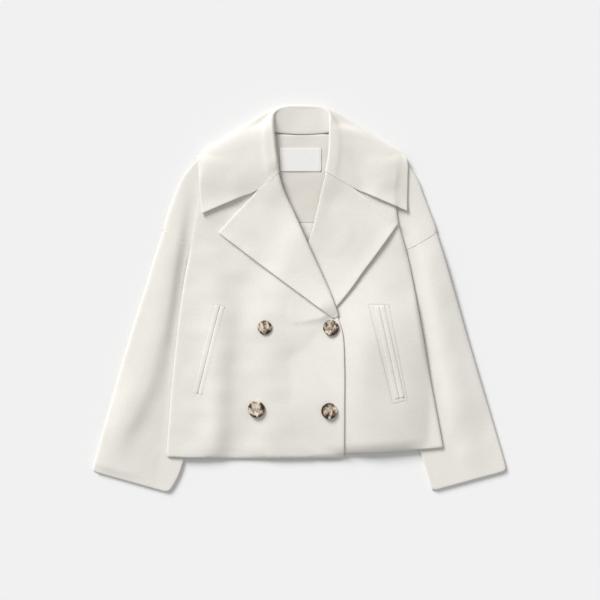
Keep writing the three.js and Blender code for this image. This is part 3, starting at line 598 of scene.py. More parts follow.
def nodeTop(name):
    # A function that gives the height of a node's upper skin
    shape = mergedNode(name)
    patch = upperSkin(shape)
    shape.verts.index_update()
    tree = BVHTree.FromPolygons([vert.co / mm for vert in shape.verts],
                                [[vert.index for vert in face.verts] for face in patch])
    shape.free()

    def top(xy):
        heights = []
        for x, y in xy:
            hit = tree.ray_cast(Vector((x, y, 200)), Vector((0, 0, -1)))[0]
            hit = hit or tree.find_nearest(Vector((x, y, 10)))[0]
            heights.append(hit.z)
        return np.array(heights)
    return top


def movedIn(xy, outline, depth):
    # Each place nearer the rim than depth, moved in to that depth, to read a full-thickness height
    closed = closedLoop(outline)
    away, _, along = lineDistance(xy, closed)
    lengths = lengthAlong(closed)

    def rimAt(shift):
        spots = (along * lengths[-1] + shift) % lengths[-1]
        return np.column_stack([np.interp(spots, lengths, closed[:, axis]) for axis in (0, 1)])
    inner = rimAt(0) + inwardBetween(rimAt(-1.5), rimAt(1.5)) * depth
    return np.where((away < depth)[:, None], inner, xy), away


pieceArea = {}


def makeObject(name, points, faces, finish):
    mesh = bpy.data.meshes.new(name)
    mesh.from_pydata([tuple(point) for point in np.array(points) * mm], [], faces)
    mesh.validate()
    mesh.materials.append(finish)
    mesh.polygons.foreach_set("use_smooth", np.ones(len(mesh.polygons), bool))
    piece = bpy.data.objects.new(name, mesh)
    bpy.context.scene.collection.objects.link(piece)
    return piece


def closeSkins(points, faces, middle, half):
    # Upper and lower skins round a middle surface, joined where half is nothing
    count = len(points)
    upper = np.column_stack([points, middle + half])
    lower = np.column_stack([points, middle - half])
    onRim = half < 1e-6
    lowerIndex = np.where(onRim, np.arange(count), count + np.cumsum(~onRim) - 1)
    lowerFaces = [[int(lowerIndex[vert]) for vert in reversed(face)] for face in faces]
    return np.vstack([upper, lower[~onRim]]), [list(face) for face in faces] + lowerFaces


def fullSize(points):
    # Width and length of the smallest upright or turned rectangle round a sheet's outline
    best = None
    for turn in np.radians(np.arange(0, 90, 3)):
        across = points[:, 0] * math.cos(turn) + points[:, 1] * math.sin(turn)
        along = -points[:, 0] * math.sin(turn) + points[:, 1] * math.cos(turn)
        size = sorted((np.ptp(across), np.ptp(along)))
        if best is None or size[0] * size[1] < best[0] * best[1]:
            best = size
    return best


def declareCloth(piece, node, slot, held, restsOn, flatArea, width, length):
    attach(piece, "root")
    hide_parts(node)
    area = min(flatArea, width * length) * mm ** 2
    width * mm
    length * mm
    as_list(restsOn)
    pieceArea[piece.name] = (round(width), round(length), round(area, 4))


noLimit = 999
narrowRounding = 0.2    # share of the rounding that a seam or a sharp crease keeps
leastWidth = 10.5       # a welt's strip, folded under along both edges


def clothOutline(node, setting):
    outline = setting["outline"] if "outline" in setting else nodeOutline(node)
    outline = smoothOutline(outline, setting.get("cornerRounding", 1),
                            setting.get("roundBelow", noLimit))
    for seam in setting.get("seams", ()):
        outline = movedOut(outline, seam, setting.get("seamGrow", 0))
    for run in setting.get("sharp", ()):
        outline = smoothRun(outline, run)
    return outline


def foldedHeight(xy, read, node, setting, mean):
    # The middle surface with its folds, before it settles on what lies below
    if "height" in setting:
        middle = setting["height"](read)
    else:
        middle = nodeTop(node)(read) - setting["thickness"] / 2
    for _ in range(setting.get("smoothing", 30)):
        middle = middle * 0.4 + mean(middle) * 0.6
    middle = middle + foldsAt(xy, setting.get("folds", ()))
    if "extra" in setting:
        middle = middle + setting["extra"](xy)
    return middle + ripple(xy, setting.get("ripple", 0.5), setting.get("seed", 1))


def settledOn(lowest, middle, mean):
    # Lets the cloth down softly on what lies below, and gives the room that is left under it
    draped = lowest.copy()
    for _ in range(10):
        draped = np.maximum(lowest, mean(draped))
    for _ in range(5):
        middle = np.maximum(middle, draped)
        middle = middle * 0.5 + mean(middle) * 0.5
    middle = np.maximum(middle, draped)
    return middle, middle - draped


def turnedDown(xy, middle, room, outline, edges):
    # Rolls stretches of the rim down as far as there is room, or up where drop is negative
    for edge in edges:
        near, _, along = lineDistance(xy, outlineRun(outline, edge["run"]))
        share = np.clip(1 - near / edge["radius"], 0, 1)
        shape = 1 - np.sqrt(np.maximum(1 - share ** 2, 0)) if edge["drop"] > 0 else share ** 2
        lowered = np.minimum(edge["drop"], room) * shape * fadedEnds(along, edge.get("fade", 0))
        middle, room = middle - lowered, room - lowered
    return middle


def halfThickness(xy, away, outline, rounding, setting):
    # Full inside, and rounded off to nothing at the rim, in less room at seams and sharp creases
    tight = np.full(len(xy), float(rounding))
    for run in (*setting.get("seams", ()), *setting.get("sharp", ())):
        near = lineDistance(xy, outlineRun(outline, run))[0]
        tight = np.where(near < away + 0.05, rounding * narrowRounding, tight)
    share = np.clip(away / tight, 0, 1)
    return setting["thickness"] / 2 * np.sqrt(np.maximum(1 - (1 - share) ** 2, 0))


def thinnedTip(xy, middle, half, lowest, thickness, tip):
    # Cloth that thins out where it turns back
    full = smoothstep(np.hypot(*(xy - np.array(tip["at"])).T), 0, tip["reach"])
    thin = tip["left"] + (1 - tip["left"]) * full
    return lowest - thickness / 2 * (1 - thin) + (middle - lowest) * full, half * thin


def layCloth(name, node, setting):
    # One sheet of cloth: its outline, its height, its folds and edges, then its two skins
    thickness = setting["thickness"]
    rounding = setting.get("rounding", thickness * 0.55)
    grooves = setting.get("grooves", ())
    outline = clothOutline(node, setting)
    xy, faces = meshOutline(outline, rounding, grooves)
    read, away = movedIn(xy, outline, setting.get("sampleDepth", 3.0))
    mean = neighboursMean(faces, len(xy))
    middle = foldedHeight(xy, read, node, setting, mean)
    room = noLimit
    if "over" in setting:
        lowest = setting["over"].at(xy) + layerGap + thickness / 2
        middle, room = settledOn(lowest, middle, mean)
    middle = turnedDown(xy, middle, room, outline, setting.get("edges", ()))
    middle = np.maximum(middle, thickness / 2)
    for groove in grooves:
        near = lineDistance(xy, np.array(groove["path"], float))[0]
        middle = middle - groove["depth"] * np.clip(1 - near / (groove["width"] * 1.2), 0, 1) ** 1.5
    half = halfThickness(xy, away, outline, rounding, setting)
    if "tip" in setting:
        middle, half = thinnedTip(xy, middle, half, lowest, thickness, setting["tip"])
    half[lineDistance(xy, closedLoop(outline))[0] < 1e-3] = 0
    points, allFaces = closeSkins(xy, faces, middle, half)
    piece = makeObject(name, points, allFaces, setting["finish"])
    corners = xy[np.array(faces)]
    flatArea = np.abs(np.cross(corners[:, 1] - corners[:, 0], corners[:, 2] - corners[:, 0])).sum() / 2
    width, length = np.maximum(fullSize(outline), leastWidth)
    declareCloth(piece, node, setting["slot"], "laid", setting["restsOn"], flatArea, width, length)
    laid.lay(points, allFaces)
    print(name, "laid:", len(allFaces), "faces, height", round(points[:, 2].min(), 1),
          "to", round(points[:, 2].max(), 1))
    return points, allFaces


bodyCloth = 2.5
collarCloth = 3.0
backCloth = 2.0
facingCloth = 1.5
liningCloth = 1.0
labelCloth = 0.8
woolSheet = {"thickness": bodyCloth, "finish": woolFinish, "slot": "wool"}
nodeShift = np.array([0.75, -0.47])   # the source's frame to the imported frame

# Stretches of a piece's rim: where each starts, a place on its way, and its end
rimRuns = {
    "right": {
        "armhole": ((-238, 117), (-213, 102), (-188, 87)),
        "outer sleeve": ((-239, 117), (-311, -117), (-362, -300)),
        "cuff": ((-362, -302), (-296, -322), (-230, -338)),
        "shoulder": ((-176, 247), (-218, 182), (-239, 118)),
        "side crease": ((-170, 242), (-205, 13), (-233, -276)),
        "hem": ((-232, -277), (-80, -278), (77, -278)),
        "front edge": ((74, -56), (77, -150), (77, -278)),
        "lapel roll": ((-37, 217.5), (2, 121), (66, -29)),
        "lapel edge": ((-142, 114), (-66, 57), (57, -35)),
        "gorge": ((-37, 217.5), (-56, 202), (-75, 187.2)),
    },
    "left": {
        "armhole": ((238, 114), (211, 99), (184, 84)),
        "outer sleeve": ((239, 114), (308, -120), (361, -300)),
        "cuff": ((361, -301), (296, -318), (232, -336)),
        "shoulder": ((178, 247), (216, 180), (239, 115)),
        "side crease": ((172, 242), (198, 25), (250, -260)),
        "hem": ((-53, -276), (100, -270), (250, -260)),
        "lapel roll": ((45, 219.5), (32, 160), (4, 58)),
        "lapel edge": ((39, -34), (120, 60), (171, 130)),
        "lapel notch": ((104, 184), (136, 158), (171, 130)),
        "gorge": ((46, 220), (70, 205), (96, 191)),
    },
}


def turnedRim(side, run, drop, radius, fade=0):
    return {"run": rimRuns[side][run], "drop": drop, "radius": radius, "fade": fade}


bodyFullness = {"high": 4.6, "moreBelow": 3.8, "below": (60, -120), "rightSide": (-225, 95),
                "leftSide": (282, 96), "hem": (-300, -170), "chest": (235, 120)}


def bodyRise(xy):
    # The fronts stand a little full over the back, highest beside the front edge
    x, y = xy.T
    high = bodyFullness["high"] + bodyFullness["moreBelow"] * smoothstep(y, *bodyFullness["below"])
    for place, key in ((x, "rightSide"), (x, "leftSide"), (y, "hem"), (y, "chest")):
        high = high * smoothstep(place, *bodyFullness[key])
    return high


# The crease runs down the outside of the arm, beside the body, and folds start clear of it
sleeves = {
    "right": {
        "seed": 3, "clear": (1, 19), "seamStep": 0.05,
        "crease": [(-171, 243), (-184, 150), (-205, 13), (-222, -134), (-230, -230), (-233, -277)],
        "folds": [
            {"path": [(-198, 232), (-207, 180), (-214, 110), (-221, 40), (-233, -30), (-252, -95),
                      (-266, -150), (-296, -212), (-330, -272)],
             "high": 6.2, "widths": (20, 58), "fade": (0.3, 0.15)},
            {"path": [(-270, -120), (-300, -190), (-326, -262), (-338, -305)], "high": 3.2,
             "widths": (56, 26), "fade": (0.4, 0.05)},
            {"path": [(-236, -266), (-238, -300), (-240, -336)], "high": -1.6, "width": 11,
             "fade": (0.4, 0.1)},
        ],
    },
    "left": {
        "seed": 4, "clear": (3, 30), "seamStep": 0.8,
        "crease": [(173, 243), (173, 150), (198, 25), (222, -110), (242, -214), (250, -260)],
        "folds": [
            {"path": [(196, 215), (208, 150), (222, 85), (238, 0), (253, -90), (276, -180),
                      (296, -262)],
             "high": 5.6, "widths": (42, 30), "fade": (0.4, 0.2)},
            {"path": [(250, -236), (258, -280), (266, -325)], "high": -1.6, "width": 16,
             "fade": (0.4, 0.1)},
        ],
    },
}
belowHem = {"y": -262, "reach": (4, 30)}   # where the sleeves come out from beneath the body


def sleeveFolds(sleeve):
    line = splineLine(sleeve["crease"], 8)
    outward = np.sign(line[0, 0])

    def raised(xy):
        at = np.interp(xy[:, 1], line[::-1, 1], line[::-1, 0])
        clear = smoothstep((xy[:, 0] - at) * outward, *sleeve["clear"])
        below = smoothstep(belowHem["y"] - xy[:, 1], *belowHem["reach"])
        return foldsAt(xy, sleeve["folds"]) * np.maximum(clear, below)
    return raised


def laySleeve(side, sleeve):
    layCloth(f"{side}_under_sleeve", f"{side}_sleeve_under", {
        **woolSheet, "restsOn": ["floor"], "ripple": 0, "smoothing": 0,
        "height": lambda xy: np.full(len(xy), bodyCloth / 2)})
    topSleeve = layCloth(f"{side}_top_sleeve", f"{side}_sleeve_top", {
        **woolSheet, "restsOn": [f"{side}_under_sleeve"], "over": laid.copy(),
        "extra": sleeveFolds(sleeve),
        "edges": [turnedRim(side, "outer sleeve", 2.0, 9), turnedRim(side, "cuff", 1.0, 5)],
        "seams": [rimRuns[side]["armhole"]], "seamGrow": 0.2, "cornerRounding": 10,
        "roundBelow": -200, "ripple": 0.25, "seed": sleeve["seed"]})
    tops = HeightMap()
    tops.lay(*topSleeve)
    return tops.spread(24)


sleeveTops = {side: laySleeve(side, sleeve) for side, sleeve in sleeves.items()}

backPanel = layCloth("back_panel", "back", {
    **woolSheet, "thickness": backCloth, "restsOn": ["right_top_sleeve"], "ripple": 0})

neckUnder = laid.copy()
backOnly = HeightMap()
backOnly.lay(*backPanel)
backOnly.spread(6)
# The facing takes the darker copy of the wool, which paints its shade
layCloth("neck_facing", "back_facing", {
    "thickness": facingCloth, "finish": facingPaintedShadeFinish, "slot": "wool", "restsOn": ["back_panel"],
    "ripple": 0.25, "seed": 8, "over": neckUnder})
pleat = {"high": 1.2, "width": 3, "fade": (0, 0)}
layCloth("back_lining_pleat", "back_lining", {
    "thickness": liningCloth, "finish": liningFinish, "slot": "lining", "restsOn": ["back_panel"],
    "folds": [{**pleat, "path": [(4.5, 131), (8, 97)]}, {**pleat, "path": [(23, 131), (15, 97)]}],
    "ripple": 0, "over": neckUnder})
layCloth("neck_label", "label", {
    "thickness": labelCloth, "finish": labelFinish, "slot": "label", "restsOn": ["neck_facing"],
    "ripple": 0.1, "over": laid.copy(), "cornerRounding": 0})

shoulders = {
    "right": [(-163, 238), (-164, 214), (-167, 188), (-170, 160), (-173, 122), (-178, 82),
              (-208, 98), (-239, 118), (-236, 131), (-230, 152), (-218, 182), (-204, 212),
              (-176, 247)],
    "left": [(163, 238), (158, 214), (157, 188), (160, 160), (166, 122), (176, 80),
             (208, 96), (239, 115), (236, 128), (228, 149), (216, 180), (203, 212), (178, 247)],
}
# Fronts: down the neck and front edge, along the hem, then up the side crease
fronts = {
    "right": [(-90, 297), (-88, 272), (-80, 244), (-61, 219), (-38, 197), (-24, 163), (-5, 120),
              (17, 74), (38, 27), (57, -14), (73, -56), (77, -116), (77, -195), (77, -278),
              (-30, -279), (-130, -278.5),
              (-233, -276.5), (-230, -230), (-226.5, -183), (-222, -134), (-217, -87), (-212, -38),
              (-205, 13), (-198, 57), (-189, 96), (-184, 128), (-180, 160), (-177, 188),
              (-174, 215), (-170, 243)],
    "left": [(94, 297), (92, 272), (84, 244), (66, 222), (49, 200), (38, 163), (24, 117), (9, 68),
             (-5, 20), (-17, -27), (-27, -72), (-40, -142), (-49, -212), (-54, -276),
             (50, -272), (150, -267),
             (250, -260), (241.5, -214), (231, -160), (222, -110), (214.5, -65), (206.5, -20),
             (198, 25), (191, 60), (183, 92), (173, 128), (168, 160), (166, 186), (168, 213),
             (172, 243)],
}
pocketBorder = [(119.5, -10.6), (155.2, -10.6), (187.6, -177), (162, -183.4), (119.5, -10.6)]
frontSettings = {
    "left": {
        "seed": 11, "restsOn": ["back_panel"],
        "folds": [
            {"path": [(98, 90), (104, -40), (112, -130), (126, -290)], "high": 9.4,
             "widths": (84, 72), "fade": (0.5, 0.1)},
            {"path": [(194, 110), (200, 40), (208, -30)], "high": -3.2, "widths": (30, 64),
             "fade": (0.35, 0.35)},
            {"path": [(232, -60), (244, -130), (254, -200), (262, -290)], "high": -6.5,
             "widths": (60, 40), "fade": (0.4, 0)},
        ],
        "edges": [turnedRim("left", "side crease", 6.0, 9), turnedRim("left", "hem", 5.0, 22)],
        "grooves": [{"path": pocketBorder, "width": 1.3, "depth": 0.5}],
    },
    "right": {
        "seed": 12, "restsOn": ["left_front_panel"],
        "folds": [
            {"path": [(-150, 60), (-148, -60), (-144, -160), (-146, -290)], "high": 2.6,
             "widths": (26, 20), "fade": (0.35, 0)},
            {"path": [(-92, 80), (-101, -10), (-108, -90), (-116, -180), (-122, -290)], "high": -1.6,
             "widths": (24, 16), "fade": (0.35, 0)},
            {"path": [(-78, 20), (-58, -70), (-50, -160), (-56, -290)], "high": 1.6,
             "widths": (30, 24), "fade": (0.4, 0)},
            {"path": [(-36, 30), (-6, -70), (8, -150), (2, -270)], "high": -0.9, "width": 20},
            {"path": [(28, -30), (36, -120), (34, -220), (40, -300)], "high": 1.0, "width": 22,
             "fade": (0.4, 0)},
        ],
        "edges": [turnedRim("right", "side crease", 6.0, 3), turnedRim("right", "hem", 5.0, 22),
                  turnedRim("right", "front edge", 6.0, 12)],
        "grooves": [{"path": [(-138.25, -13.5), (-177.25, -166.5)], "width": 1.5, "depth": 0.9}],
        "sharp": [rimRuns["right"]["side crease"]],
    },
}
lapelSettings = {
    "left": {
        "seed": 31,
        "folds": [{"path": [(60, 180), (80, 120), (76, 60)], "high": 1.4, "width": 20}],
        "edges": [turnedRim("left", "lapel roll", 1.2, 2.5, (0, 0.1)),
                  turnedRim("left", "lapel edge", -2.4, 26, (0.75, 0.12)),
                  turnedRim("left", "lapel notch", -1.2, 20, 0.2)],
        "sharp": [rimRuns["left"]["lapel roll"]],
    },
    "right": {
        "seed": 32,
        "folds": [{"path": [(-70, 175), (-56, 120), (-20, 70)], "high": 1.2, "width": 20}],
        "edges": [turnedRim("right", "lapel roll", 4.0, 6),
                  turnedRim("right", "lapel edge", -3.0, 30, 0.12)],
        "tip": {"at": (62.5, -33), "reach": 34, "left": 0.12},
    },
}


shoulderLift = 0.2
shoulderBlend = (3, 34)   # from the sleeve's height to the shoulder's own, by distance from the seam


def shoulderHeight(side, sleeve):
    # Meets the sleeve's height at the armhole seam, so the fold runs on across it
    seam = np.array(rimRuns[side]["armhole"][::2], float)
    folds = sleeveFolds(sleeve)

    def middle(xy):
        own = backOnly.at(xy) + layerGap + bodyCloth / 2 + shoulderLift
        sleeveTop = sleeveTops[side].at(xy) - bodyCloth / 2 + sleeve["seamStep"] - folds(xy)
        share = np.where(sleeveTop < 0, 1, smoothstep(lineDistance(xy, seam)[0], *shoulderBlend))
        return own * share + sleeveTop * (1 - share)
    return middle


def tableOutline(points):
    return anticlockwise(np.array(points, float) + nodeShift)


def layFront(side):
    top = nodeTop(f"{side}_front")
    sleeve = sleeves[side]
    layCloth(f"{side}_shoulder", f"{side}_front", {
        **woolSheet, "outline": tableOutline(shoulders[side]), "restsOn": ["back_panel"],
        "over": backOnly, "height": shoulderHeight(side, sleeve), "extra": sleeveFolds(sleeve),
        "edges": [turnedRim(side, "shoulder", 2.5, 12)], "seams": [rimRuns[side]["armhole"]],
        "ripple": 0, "cornerRounding": 0})
    layCloth(f"{side}_front_panel", f"{side}_front", {
        **woolSheet, "outline": tableOutline(fronts[side]), "over": laid.copy(), "rounding": 1.0,
        "height": lambda xy: top(xy) - bodyCloth / 2 + bodyRise(xy), "ripple": 0.55,
        **frontSettings[side]})


def layLapel(side):
    top = nodeTop(f"{side}_lapel")
    layCloth(f"{side}_lapel_facing", f"{side}_lapel", {
        **woolSheet, "thickness": collarCloth, "restsOn": [f"{side}_front_panel"],
        "over": laid.copy().widened(2),
        "height": lambda xy: top(xy) - collarCloth / 2 + bodyRise(xy) * 0.8, "sampleDepth": 5.0,
        "seams": [rimRuns[side]["gorge"]], "seamGrow": 0.25, "cornerRounding": 0, "ripple": 0.4,
        **lapelSettings[side]})


layFront("left")
withoutLapels = laid.copy()
layLapel("left")
layFront("right")
withoutLapels.add(laid, "right")
withoutLapels.spread(24)
layLapel("right")

collarColumns = ("neckX", "neckY", "rollX", "rollY", "rollZ", "midX", "midY", "foldX", "foldY",
                 "edgeX", "edgeY", "behind")
rightCollar = [
    (-48, 211, -37, 219, 15.6, -75, 188.5, -130, 165, -171.5, 147, 0),
    (-59, 219.5, -38.5, 230, 16, -86, 203, -142, 187, -174, 181, 0),
    (-69, 230, -40.5, 244, 16.3, -90, 223, -145, 214, -176, 212, 0),
    (-80.5, 251, -43, 262, 16.5, -94, 248, -150, 240, -177.5, 236, 0),
    (-86, 266, -44, 273, 16.5, -95, 264, -173, 252, -178.5, 249.5, 0.5),
    (-86, 279, -45, 284, 16.5, -94, 277, -163, 261, -167, 253, 1),
    (-80, 290, -46, 295, 16.5, -88, 290, -141, 273, -136, 233, 1),
    (-66, 294, -46.5, 309, 15.5, -72, 303, -106, 296, -104, 230, 1),
    (-49, 290.5, -44.5, 322, 13, -56, 318, -74, 315, -72, 228, 1),
    (-28, 288, -32, 331, 9, -37, 332, -44, 334.5, -38, 227, 1),
]
backCollar = [(5, 286.3, 5, 332, 7, 5, 336, 5, 338.5, 5, 227, 1)]
leftCollar = [
    (55, 212, 45, 220.5, 15.6, 95.5, 191.5, 140, 172, 187, 152, 0),
    (64.5, 222.5, 47, 231, 16, 96, 206, 150, 190, 187.5, 182, 0),
    (73, 232.5, 49.5, 245, 16.3, 98, 225, 152, 214, 188, 211, 0),
    (84.5, 251, 51, 262, 16.5, 101, 249, 158, 240, 188, 234, 0),
    (90, 266, 51.5, 273, 16.5, 102, 264, 177, 252, 183, 249.5, 0.5),
    (90, 279, 51.5, 284, 16.5, 101, 277, 166, 261, 170, 253, 1),
    (84, 290, 52, 295, 16.5, 94, 290, 144, 273, 140, 233, 1),
    (71, 294, 52, 309, 15.5, 78, 302, 112, 293, 110, 230, 1),
    (57, 290.5, 50.5, 322, 13, 62, 317, 82, 312, 80, 228, 1),
    (37, 288, 40, 330, 9, 46, 331, 54, 331.5, 46, 227, 1),
]
collarSetting = {
    "cut": (215.0, 620.0), "perRow": 7, "columns": 57,
    "moreColumns": (1, 1.5, 2, 2.5, 3, 3.4, 4.6, 5, 5.5, 6, 6.5), "lyingRows": 3, "shoulderRows": 7,
    "besideNeckAbove": 10, "neckSeam": {"beside": 8.8, "behind": 5.8}, "rimReaches": (0.25, 0.7, 1.6),
    "rollLift": {"right": 3.6, "left": 0.6}, "rollRows": ((0.3, 2), (8.6, 6)), "rollWidth": 0.9,
    "fallColumns": (3, 5), "restPasses": 8, "foldRows": (4.5, 2.5), "foldColumns": (3.2, 4.2),
    "edgeLift": 2.8, "liftReach": 26, "liftColumns": (4.4, 5.6),
    "softness": 0.8, "softPasses": 26, "softRows": (2.0, 3.4), "softColumns": (3.6, 4.6),
    "folds": [
        {"path": [(-60, 262), (-100, 215), (-130, 175)], "high": 1.6, "width": 20},
        {"path": [(70, 262), (104, 222), (128, 182)], "high": -1.6, "width": 18},
        {"path": [(110, 262), (140, 226), (160, 180)], "high": 1.8, "width": 18},
    ],
}
sectionSpots = {"roll": 2.6, "mid": 4, "gorgeEnd": 4.6, "last": 8}   # columns of a section


def lyingOn(spot):
    return float(withoutLapels.at(np.array([spot[:2]]))[0]) + layerGap + collarCloth / 2


def toward(start, end, reach, z):
    run = (end - start) * (1, 1, 0)
    place = start + run / np.linalg.norm(run) * reach
    place[2] = z
    return place


def collarSection(row):
    # From the neck seam over the roll, down the fall, round its fold and on to the edge
    row = dict(zip(collarColumns, row))

    def spot(key, z):
        return np.array([row[key + "X"] + nodeShift[0], row[key + "Y"] + nodeShift[1], z], float)
    besideNeck = row["rollZ"] > collarSetting["besideNeckAbove"]
    onLeft = besideNeck and row["rollX"] > 0
    neck = spot("neck", collarSetting["neckSeam"]["beside" if besideNeck else "behind"])
    roll = spot("roll", row["rollZ"])
    mid, fold, edge = spot("mid", 0), spot("fold", 0), spot("edge", collarCloth / 2)
    turn = min(max(row["rollZ"] - 10.2, 0.6), 6.2) * (0.5 if onLeft else 1)
    reach = min(4, math.dist(roll[:2], mid[:2]) / 3) * (0.6 if onLeft else 1)
    mid[2] = lyingOn(mid) if besideNeck else row["rollZ"] - 0.6
    upper = min(lyingOn(fold), mid[2]) if besideNeck else row["rollZ"] - 1
    fold[2] = (upper + edge[2]) / 2
    before, after = toward(fold, mid, 4, upper), toward(fold, edge, 4, edge[2])
    if row["behind"] < 1:
        edge[2] = lyingOn(edge) - (3 if row["behind"] else 0)
        fold[2] = lyingOn(fold) - (0.5 if row["behind"] else 0)
        before = before if row["behind"] else mid * 0.45 + fold * 0.55
        after = (fold + edge) / 2
    return np.array([neck, toward(roll, neck, 4, row["rollZ"] - turn), roll - (0, 0, turn / 2),
                     toward(roll, mid, reach, row["rollZ"]), mid, before, fold, after, edge])


def nearEnds(line, reaches):
    # Adds points close to each end of a line of points
    length = [np.linalg.norm(line[1] - line[0]), np.linalg.norm(line[-2] - line[-1])]
    first = [line[0] + (line[1] - line[0]) * min(reach / length[0], 0.8) for reach in reaches]
    last = [line[-1] + (line[-2] - line[-1]) * min(reach / length[1], 0.8) for reach in reaches]
    return np.array([line[0], *first, *line[1:-1], *last[::-1], line[-1]])


def gridFaces(index, below):
    faces = []
    for row in range(len(index) - 1):
        for column in range(len(index[0]) - 1):
            corners = [(row, column), (row, column + 1), (row + 1, column + 1), (row + 1, column)]
            faces.append([int(index[corner]) for corner in corners])
            faces.append([int(below[corner]) for corner in reversed(corners)])
    return faces


def gridShell(grid, thickness, seamUntil, reaches):
    # Two skins round a grid of middle points, joined in a rounded rim
    grid = np.array([nearEnds(line, reaches) for line in grid])
    grid = np.array([nearEnds(line, reaches) for line in grid.transpose(1, 0, 2)]).transpose(1, 0, 2)
    rows, columns = grid.shape[:2]
    normal = np.cross(np.gradient(grid, axis=1), np.gradient(grid, axis=0))
    normal /= np.maximum(np.linalg.norm(normal, axis=2), 1e-9)[..., None]
    if normal[rows // 4, columns // 2, 2] < 0:
        normal = -normal
    ends = [0, *[min(1, reach / (thickness * 0.55)) for reach in reaches]]
    profile = [math.sqrt(1 - (1 - share) ** 2) for share in ends]

    def taper(count):
        line = np.ones(count)
        line[:len(profile)] = profile
        line[-len(profile):] = profile[::-1]
        return line
    ending = np.repeat(taper(rows)[:, None], columns, 1)
    seam = np.arange(columns) < seamUntil
    ending[1:len(profile), seam] = ending[-len(profile):-1, seam] = 1
    half = np.minimum(ending, taper(columns)[None]) * thickness / 2
    skins = [grid + normal * half[..., None], grid - normal * half[..., None]]
    points = np.vstack([skin.reshape(-1, 3) for skin in skins])
    index = np.arange(rows * columns).reshape(rows, columns)
    below = np.where(half < 1e-6, index, index + rows * columns)
    used = np.unique([index, below])
    renumber = np.full(len(points), -1)
    renumber[used] = np.arange(len(used))
    return points[used], gridFaces(renumber[index], renumber[below])


def innerMean(grid):
    # Each inner point at the mean of its four neighbours
    mean = grid.copy()
    mean[1:-1, 1:-1] = (grid[:-2, 1:-1] + grid[2:, 1:-1] + grid[1:-1, :-2] + grid[1:-1, 2:]) / 4
    return mean


def endDistance(grid, ends):
    return np.min([np.linalg.norm(grid[..., :2] - end[..., :2], axis=2) for end in ends], axis=0)


def collarPatch(station, rows, column, columns):
    # A share from 0 to 1 over ranges of the rows and of the columns
    return np.outer(smoothstep(station, *rows), smoothstep(column, *columns))


def collarGrid(setting):
    # Middle points: rows along the neck, each with columns from the seam to the edge
    rows = rightCollar + backCollar + leftCollar[::-1]
    sections = [collarSection(row) for row in rows]
    column = np.array(sorted({*np.linspace(0, sectionSpots["last"], setting["columns"]),
                              *setting["moreColumns"]}))
    lines = [[splinePoint(section, at) for section in sections] for at in column]
    steps = np.linspace(0, len(rows) - 1, (len(rows) - 1) * setting["perRow"] + 1)
    grid = np.array([[splinePoint(line, step) for line in lines] for step in steps])

    # The roll stands higher beside the neck
    centre = len(rightCollar)
    station = centre - np.abs(steps - centre)
    lift = np.where(steps < centre, setting["rollLift"]["right"], setting["rollLift"]["left"])
    for rowRange in setting["rollRows"]:
        lift = lift * smoothstep(station, *rowRange)
    fromRoll = (column - sectionSpots["roll"]) / setting["rollWidth"]
    grid[..., 2] += np.outer(lift, np.exp(-fromRoll ** 2))
    return grid, station, column


def fallHeight(grid, station, column, setting):
    # The fall lies on the fronts and shoulders, with folds, and its front ends a little off them
    station = station[:, None]
    first, last = setting["fallColumns"]
    onFall = (column >= first) & (station <= setting["shoulderRows"])
    onFall &= (column <= last) | (station <= setting["lyingRows"] + 0.5)
    flat = grid[..., :2].reshape(-1, 2)
    resting = (withoutLapels.at(flat) + layerGap + collarCloth / 2).reshape(onFall.shape)
    high = grid[..., 2]
    for _ in range(setting["restPasses"]):
        high = np.where(onFall, np.maximum(high, resting), high)
        high = np.where(onFall, innerMean(high) * 0.6 + high * 0.4, high)
    high = np.where(onFall, np.maximum(high, resting), high)
    raised = foldsAt(flat, setting["folds"]).reshape(onFall.shape)
    raised = raised * collarPatch(station, setting["foldRows"], column, setting["foldColumns"])
    away = endDistance(grid, (grid[:1], grid[-1:]))
    lift = setting["edgeLift"] * np.clip(1 - away / setting["liftReach"], 0, 1) ** 2
    raised = raised + lift * smoothstep(column, *setting["liftColumns"])
    return np.maximum(high + np.where(station < setting["lyingRows"] + 1, raised, 0), collarCloth / 2)


def makeCollar(setting):
    grid, station, column = collarGrid(setting)
    grid[..., 2] = fallHeight(grid, station, column, setting)
    soft = setting["softness"] * collarPatch(station, setting["softRows"], column, setting["softColumns"])
    for _ in range(setting["softPasses"]):
        grid = grid + (innerMean(grid) - grid) * soft[..., None]

    reaches = setting["rimReaches"]
    gorge = int(np.searchsorted(column, sectionSpots["gorgeEnd"])) + len(reaches)
    points, faces = gridShell(grid, collarCloth, gorge, reaches)
    piece = makeObject("collar_and_stand", points, faces, woolFinish)
    area = sum(polygon.area for polygon in piece.data.polygons) / 2 / mm ** 2
    declareCloth(piece, "collar", "wool", "folded", ["left_front_panel", "right_front_panel"],
                 area, *setting["cut"])
    laid.lay(points, faces)
    print("collar made:", len(faces), "faces, area", round(area), "height", round(points[:, 2].max(), 1))


makeCollar(collarSetting)

weltSettings = {
    "right": {"slit": [(-139, -13), (-178, -166)],
              "thickness": 0.7, "rounding": 3.0, "gap": -0.56, "slitDrop": 0.35},
    "left": {"slit": [(138, -13), (173, -173)],
             "thickness": 1.1, "rounding": 1.8, "gap": -0.3, "slitDrop": 0.5},
}


